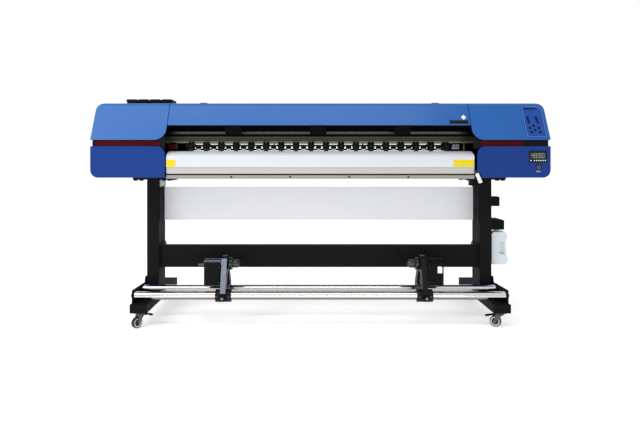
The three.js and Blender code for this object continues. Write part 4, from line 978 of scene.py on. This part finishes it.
def end_mechanisms():
    """The red sensor block at the left end of the opening and the grey roller drive at its right end."""
    low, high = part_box("print_platen")
    spin, _ = JOINTS_AT["pinch_spin"]
    y = spin.y
    x = low.x + 6 * MM
    bm = bmesh.new()
    block = [(-13, 4), (-13, 30), (-9, 34), (20, 34), (20, 4)]
    add_prism(bm, [Vector((y + a * MM, spin.z + b * MM)) for a, b in block], x - 24 * MM, x + 26 * MM, along_x)
    shape("left_sensor_block", bm, RED_STRIP, bevel=1.5 * MM, segments=3)
    bm = bmesh.new()
    hanger = [(14, 30), (14, 44), (26, 44), (26, 30)]
    add_prism(bm, [Vector((y + a * MM, spin.z + b * MM)) for a, b in hanger], x - 16 * MM, x + 18 * MM, along_x)
    shape("left_sensor_hanger", bm, BLACK_COAT, bevel=1 * MM)
    seats = [(x + a * MM, y - 13 * MM, spin.z + b * MM) for a in (-17, 19) for b in (10, 25)]
    screws("left_sensor_screws", seats, -Y, radius=2.4 * MM, height=1.2 * MM)
    x = high.x - 92 * MM
    bm = bmesh.new()
    gearbox = [(-11, 2), (-11, 16), (-6, 20), (16, 20), (16, 2)]
    add_prism(bm, [Vector((y + a * MM, spin.z + b * MM)) for a, b in gearbox], x - 6 * MM, x + 36 * MM, along_x)
    shape("right_drive_housing", bm, GREY_METAL_AND_PAINTED_HIGHLIGHT, bevel=1 * MM)
    bm = bmesh.new()
    for offset, r in ((-2, 9), (9, 7), (20, 8), (31, 6)):
        centre = (x + offset * MM, y + 2 * MM, spin.z + 26 * MM)
        add_turned(bm, [(0, 2.5 * MM), (0, r * MM), (6 * MM, r * MM), (6 * MM, 2.5 * MM)], centre, X, 24)
    shape("right_drive_pulleys", bm, ALUMINIUM, bevel=0.5 * MM)
    bm = bmesh.new()
    add_rod(bm, 4 * MM, (x + 66 * MM, y - 6 * MM, spin.z - 6 * MM), (x + 66 * MM, y - 6 * MM, spin.z + 38 * MM), 24, 1 * MM)
    add_rod(bm, 6.5 * MM, (x + 66 * MM, y - 6 * MM, spin.z + 4 * MM), (x + 66 * MM, y - 6 * MM, spin.z + 18 * MM), 24, 1 * MM)
    shape("right_drive_pillar", bm, BRASS)


# ---------------------------------------------------------------- carriage
def carriage():
    refined("carriage", BLACK_PLASTIC, 2 * MM, 3)
    refined("print_heads", GROUND_STEEL, 0.5 * MM)
    refined("capping_station", BLACK_PLASTIC, 1 * MM)
    refined("carriage_belt", RUBBER, 0.3 * MM)
    refined("carriage_motor", BLACK_COAT, 1.5 * MM)
    refined("base_beam", BLACK_COAT, 1.5 * MM)
    low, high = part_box("carriage")
    x, front = middle("carriage").x, low.y
    body = "carriage_unit"
    face_z = low.z + 52 * MM
    patch("carriage_front_plate", (x, front, face_z), -Y, (196 * MM, 70 * MM, 1.4 * MM), DEEP_BLUE, body, 8 * MM, 0.5 * MM)
    corners = [(x + a * 88 * MM, front - 1.4 * MM, face_z + b * 26 * MM) for a in (-1, 1) for b in (-1, 1)]
    screws("carriage_front_screws", corners, -Y, body, 2.6 * MM, 1.2 * MM)
    deck = 1190 * MM - DATUM
    dampers, caps = bmesh.new(), bmesh.new()
    for i in range(4):
        seat = Vector((x + (i - 1.5) * 34 * MM, -292 * MM, deck))
        add_plate(dampers, face_frame(seat, Z), rounded(24 * MM, 30 * MM, 4 * MM), -1 * MM, 9 * MM)
        add_turned(caps, [(0, 0), (0, 7 * MM), (4 * MM, 7 * MM), (5 * MM, 6 * MM), (5 * MM, 0)], seat + Z * 8 * MM, Z, 20)
    shape("carriage_dampers", dampers, IVORY, body, bevel=1 * MM)
    shape("carriage_damper_caps", caps, BLACK_PLASTIC, body, bevel=0.4 * MM)

    pulley, axis = JOINTS_AT["pulley_spin"]
    low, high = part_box("belt_pulley")
    radius = (high.z - low.z) / 2
    width = high.y - low.y
    profile = [(0, 0), (0, radius), (1 * MM, radius), (1.2 * MM, radius - 0.9 * MM)]
    profile += [(width - along, r) for along, r in reversed(profile)]
    bm = bmesh.new()
    add_turned(bm, profile, (pulley.x, low.y, pulley.z), Y, 40)
    add_hex_bolt(bm, (pulley.x, low.y, pulley.z), -Y, 2.5 * MM)
    shape("belt_pulley_wheel", bm, ALUMINIUM, BODY_OF["belt_pulley"], ("belt_pulley",))
    motor_low, motor_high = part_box("carriage_motor")
    centre = middle("carriage_motor")
    seats = [(centre.x + a * 16 * MM, motor_high.y, centre.z + b * 24 * MM) for a in (-1, 1) for b in (-1, 1)]
    screws("carriage_motor_screws", seats, Y, radius=2.8 * MM)


# ---------------------------------------------------------------- lever and controls
def lever():
    """The white grip of the lever that lifts the pinch rollers."""
    refined("pinch_lever", GROUND_STEEL, 0.8 * MM)
    low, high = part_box("pinch_lever")
    body = BODY_OF["pinch_lever"]
    top, bottom = Vector((0.911, -0.39, 0.925 - DATUM)), Vector((0.934, -0.39, 0.871 - DATUM))
    axis = bottom - top
    length = axis.length
    profile = [(-1.2, 0), (-1.0, 8), (1, 10.4), (6, 11.6), (16, 11.2)]
    tail = [(12, 11.3), (4, 11.8), (0.6, 10.8), (-1.0, 8), (-1.2, 0)]
    points = [(along * MM, r * MM) for along, r in profile] + [(length - along * MM, r * MM) for along, r in tail]
    bm = bmesh.new()
    add_turned(bm, points, top, axis, 40)
    shape("pinch_lever_grip", bm, IVORY, body)
    pivot, _ = JOINTS_AT["pinch_lever_swing"]
    bm = bmesh.new()
    add_hex_bolt(bm, (high.x - 18 * MM, pivot.y, pivot.z), X, 3 * MM)
    shape("pinch_lever_pivot_nut", bm, STEEL, body)


KEYS = ((-36, 27), (15, 27), (-34, 10), (17, 10), (-31, -7), (21, -7), (-7, -29))
KEYS += ((-31, -44), (21, -44), (-3, -58), (-27, -71), (24, -71))
SEGMENTS = {"0": "abcdef", "2": "abged", "4": "fgbc", "5": "afgcd", "8": "abcdefg"}


def keypad():
    """The sloping membrane panel: an outline, a small display strip and domed keys with no lettering."""
    node = "keypad_panel"
    face = max(NODES[node].data.polygons, key=lambda p: p.area)
    outward = face.normal.copy()
    if outward.y > 0:
        outward.negate()
    refined(node, PANEL_BLUE, 0.5 * MM)
    high = max((v.co @ outward for v in NODES[node].data.vertices))
    centre = middle(node)
    centre += outward * (high - centre @ outward)
    place = face_frame(centre, outward)
    width, length = 121 * MM, 212 * MM

    def border(inset):
        w, h = width / 2 - inset, length / 2 - inset
        return outline([(-w, -h, 20 * MM), (w, -h, 3 * MM), (w, h, 26 * MM), (-w, h, 3 * MM)], 8)

    outer, inner = border(3 * MM), border(5.2 * MM)
    bm = bmesh.new()
    count = len(outer)
    rings = []
    for points, level in ((outer, 0), (outer, 0.35 * MM), (inner, 0.35 * MM), (inner, 0)):
        rings.append([bm.verts.new(place @ Vector((p[0], p[1], level))) for p in points])
    for one, two in zip(rings, rings[1:] + rings[:1]):
        for i in range(count):
            j = (i + 1) % count
            bm.faces.new((one[i], one[j], two[j], two[i]))
    shape("keypad_outline", bm, PANEL_LINE)

    bm = bmesh.new()
    add_plate(bm, place, rounded(72 * MM, 9 * MM, 3 * MM, (-12 * MM, 86 * MM)), 0, 0.5 * MM)
    shape("keypad_display_strip", bm, KEY_DARK, bevel=0.2 * MM)

    bm = bmesh.new()
    dome = [(0, 0), (0, 8.2), (0.7, 7.8), (1.3, 5.8), (1.6, 2.8), (1.7, 0)]
    for u, v in KEYS:
        seat = place @ Vector((u * MM, v * MM, 0))
        add_turned(bm, [(along * MM, r * MM) for along, r in dome], seat, outward, 24)
    shape("keypad_domes", bm, KEY_DARK, crease=50)


def add_digit(bm, place, u, v, size, glyph):
    """A seven-segment digit with its centre at (u, v) on a surface frame."""
    half, full, thick = size * 0.28, size * 0.5, size * 0.11
    spots = {
        "a": (0, full, True),
        "g": (0, 0, True),
        "d": (0, -full, True),
        "b": (half, full / 2, False),
        "c": (half, -full / 2, False),
        "e": (-half, -full / 2, False),
        "f": (-half, full / 2, False),
    }
    for name in SEGMENTS[glyph]:
        du, dv, level = spots[name]
        width, height = (half * 1.7, thick) if level else (thick, full * 0.82)
        add_plate(bm, place, rounded(width, height, thick * 0.3, (u + du, v + dv), 2), 0, 0.3 * MM)


def display():
    low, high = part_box("display_panel")
    refined("display_panel", GLOSS_BLACK, 0.4 * MM)
    centre = Vector(((low.x + high.x) / 2, low.y, (low.z + high.z) / 2))
    place = face_frame(centre, -Y)
    bm = bmesh.new()
    add_plate(bm, place, rounded(84 * MM, 34 * MM, 2 * MM, (-2 * MM, 6 * MM)), 0, 0.4 * MM)
    shape("display_window", bm, SCREEN, bevel=0.1 * MM)
    bm = bmesh.new()
    glass = face_frame(centre - Y * 0.4 * MM, -Y)
    for index, glyph in enumerate("45050"):
        add_digit(bm, glass, (index - 2) * 15.5 * MM - 2 * MM, 6 * MM, 24 * MM, glyph)
    shape("display_digits", bm, DIGIT)
    bm = bmesh.new()
    for index in range(7):
        spot = place @ Vector(((index - 3) * 12.5 * MM + (4 * MM if index else -3 * MM), -22 * MM, 0))
        add_turned(bm, [(0, 0), (0, 3.6 * MM), (0.8 * MM, 3.2 * MM), (1.1 * MM, 0)], spot, -Y, 20)
    shape("display_keys", bm, BLANK_LABEL)


def power_button():
    node = "power_button"
    low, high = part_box(node)
    centre = middle(node)
    bm = bmesh.new()
    profile = [(0, 0), (0, 10.4), (0.6, 11), (0.9, 12.8), (0, 13.6), (-1, 14), (-15.5, 14), (-15.5, 0)]
    seat = (centre.x, low.y + 0.9 * MM, centre.z)
    add_turned(bm, [(along * MM, r * MM) for along, r in profile], seat, -Y, 48)
    shape("power_button_cap", bm, STEEL, BODY_OF[node], (node,))
    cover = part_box("right_lower_cover")[0].y
    ring = [(0, 15), (0, 18), (0.8, 17.6), (1.5, 16.4), (1.5, 15)]
    bm = bmesh.new()
    add_turned(bm, [(along * MM, r * MM) for along, r in ring], (centre.x, cover, centre.z), -Y, 48)
    shape("power_button_ring", bm, GLOSS_BLACK)
    label = (centre.x - 1 * MM, cover, centre.z - 24 * MM)
    patch("power_button_blank_label", label, -Y, (26 * MM, 9 * MM, 0.4 * MM), PANEL_LINE, bevel=0)


# ---------------------------------------------------------------- ink and waste
def ink_system():
    refined("ink_tanks", BLACK_PLASTIC, 2 * MM, 3)
    low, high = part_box("ink_tanks")
    tubes = bmesh.new()
    for i in range(1, 5):
        node = f"ink_lid_{i}"
        refined(node, BLACK_PLASTIC, 3.5 * MM, 4, 28)
        lid_low, lid_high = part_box(node)
        centre = middle(node)
        bm = bmesh.new()
        for side in (-1, 1):
            ridge = face_frame((centre.x + side * 14 * MM, centre.y, lid_high.z - 0.6 * MM), Z)
            add_plate(bm, ridge, rounded(3 * MM, 84 * MM, 1.4 * MM), 0, 1.4 * MM)
        shape(node + "_ribs", bm, BLACK_PLASTIC, BODY_OF[node], bevel=0.5 * MM)
        seat = (centre.x, high.y - 8 * MM, low.z + 22 * MM)
        add_rod(tubes, 4 * MM, seat, Vector(seat) + Y * 16 * MM, 20, 0.8 * MM)
    shape("ink_tank_spouts", tubes, IVORY, bevel=0.3 * MM)


def waste_system():
    refined("waste_bracket", BLACK_PLASTIC, 1.6 * MM, 3)
    low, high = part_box("waste_bracket")
    seats = [(low.x + 4 * MM, 10 * MM, z) for z in (low.z + 96 * MM, low.z + 126 * MM)]
    screws("waste_bracket_screws", seats, X, radius=4 * MM, height=2 * MM)

    node = "waste_bottle"
    bottle_low, bottle_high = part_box(node)
    middle_y = (bottle_low.y + bottle_high.y) / 2
    depth = (bottle_high.y - bottle_low.y) / 2
    left, right, floor = bottle_low.x, bottle_high.x, bottle_low.z
    neck_x, shoulder = left + 45 * MM, floor + 206 * MM
    blocks = (
        (depth, [(0, 10), (10, 0), (50, 0), (50, 212), (12, 212), (0, 200)]),
        (depth, [(40, 0), (86, 0), (99, 8), (106, 26), (106, 52), (90, 66), (40, 70)]),
        (depth, [(40, 146), (94, 150), (101, 164), (101, 198), (90, 212), (40, 212)]),
        (depth * 0.4, [(86, 40), (106, 40), (106, 134), (101, 158), (86, 158)]),
        (depth * 0.2, [(40, 50), (96, 50), (96, 160), (40, 160)]),
    )
    bm = bmesh.new()
    for half, points in blocks:
        section = [Vector((left + u * MM, floor + v * MM)) for u, v in points]
        add_prism(bm, section, middle_y - half, middle_y + half, along_y)
    bottle = shape(node + "_skin", bm, HDPE, BODY_OF[node], (node,), crease=80)
    remesh = bottle.modifiers.new("even_mesh", "REMESH")
    remesh.mode = "VOXEL"
    remesh.voxel_size = 2.2 * MM
    remesh.use_smooth_shade = True
    smooth = bottle.modifiers.new("blown_corners", "SMOOTH")
    smooth.factor = 0.5
    smooth.iterations = 9
    bm = bmesh.new()
    ring = [(0, 13), (0, 16.6), (1.2, 17.4), (3.4, 17.4), (4.6, 16.6), (4.6, 13)]
    for lift in (8, 14):
        add_turned(bm, [(a * MM, r * MM) for a, r in ring], (neck_x, middle_y, shoulder + lift * MM), Z, 40)
    add_rod(bm, 15 * MM, (neck_x, middle_y, shoulder), (neck_x, middle_y, bottle_high.z), 40, 1 * MM)
    shape("waste_bottle_neck_rings", bm, HDPE, BODY_OF[node])


studio()
stand()
for spot in ("front_left", "front_right", "rear_left", "rear_right"):
    caster(spot)
for side, sign in SIDES:
    takeup(side, sign)
covers()
rear_details()
rear_cover_seals()
gantry()
platen()
pinch_units()
feed_roller()
end_mechanisms()
carriage()
lever()
keypad()
display()
power_button()
ink_system()
waste_system()
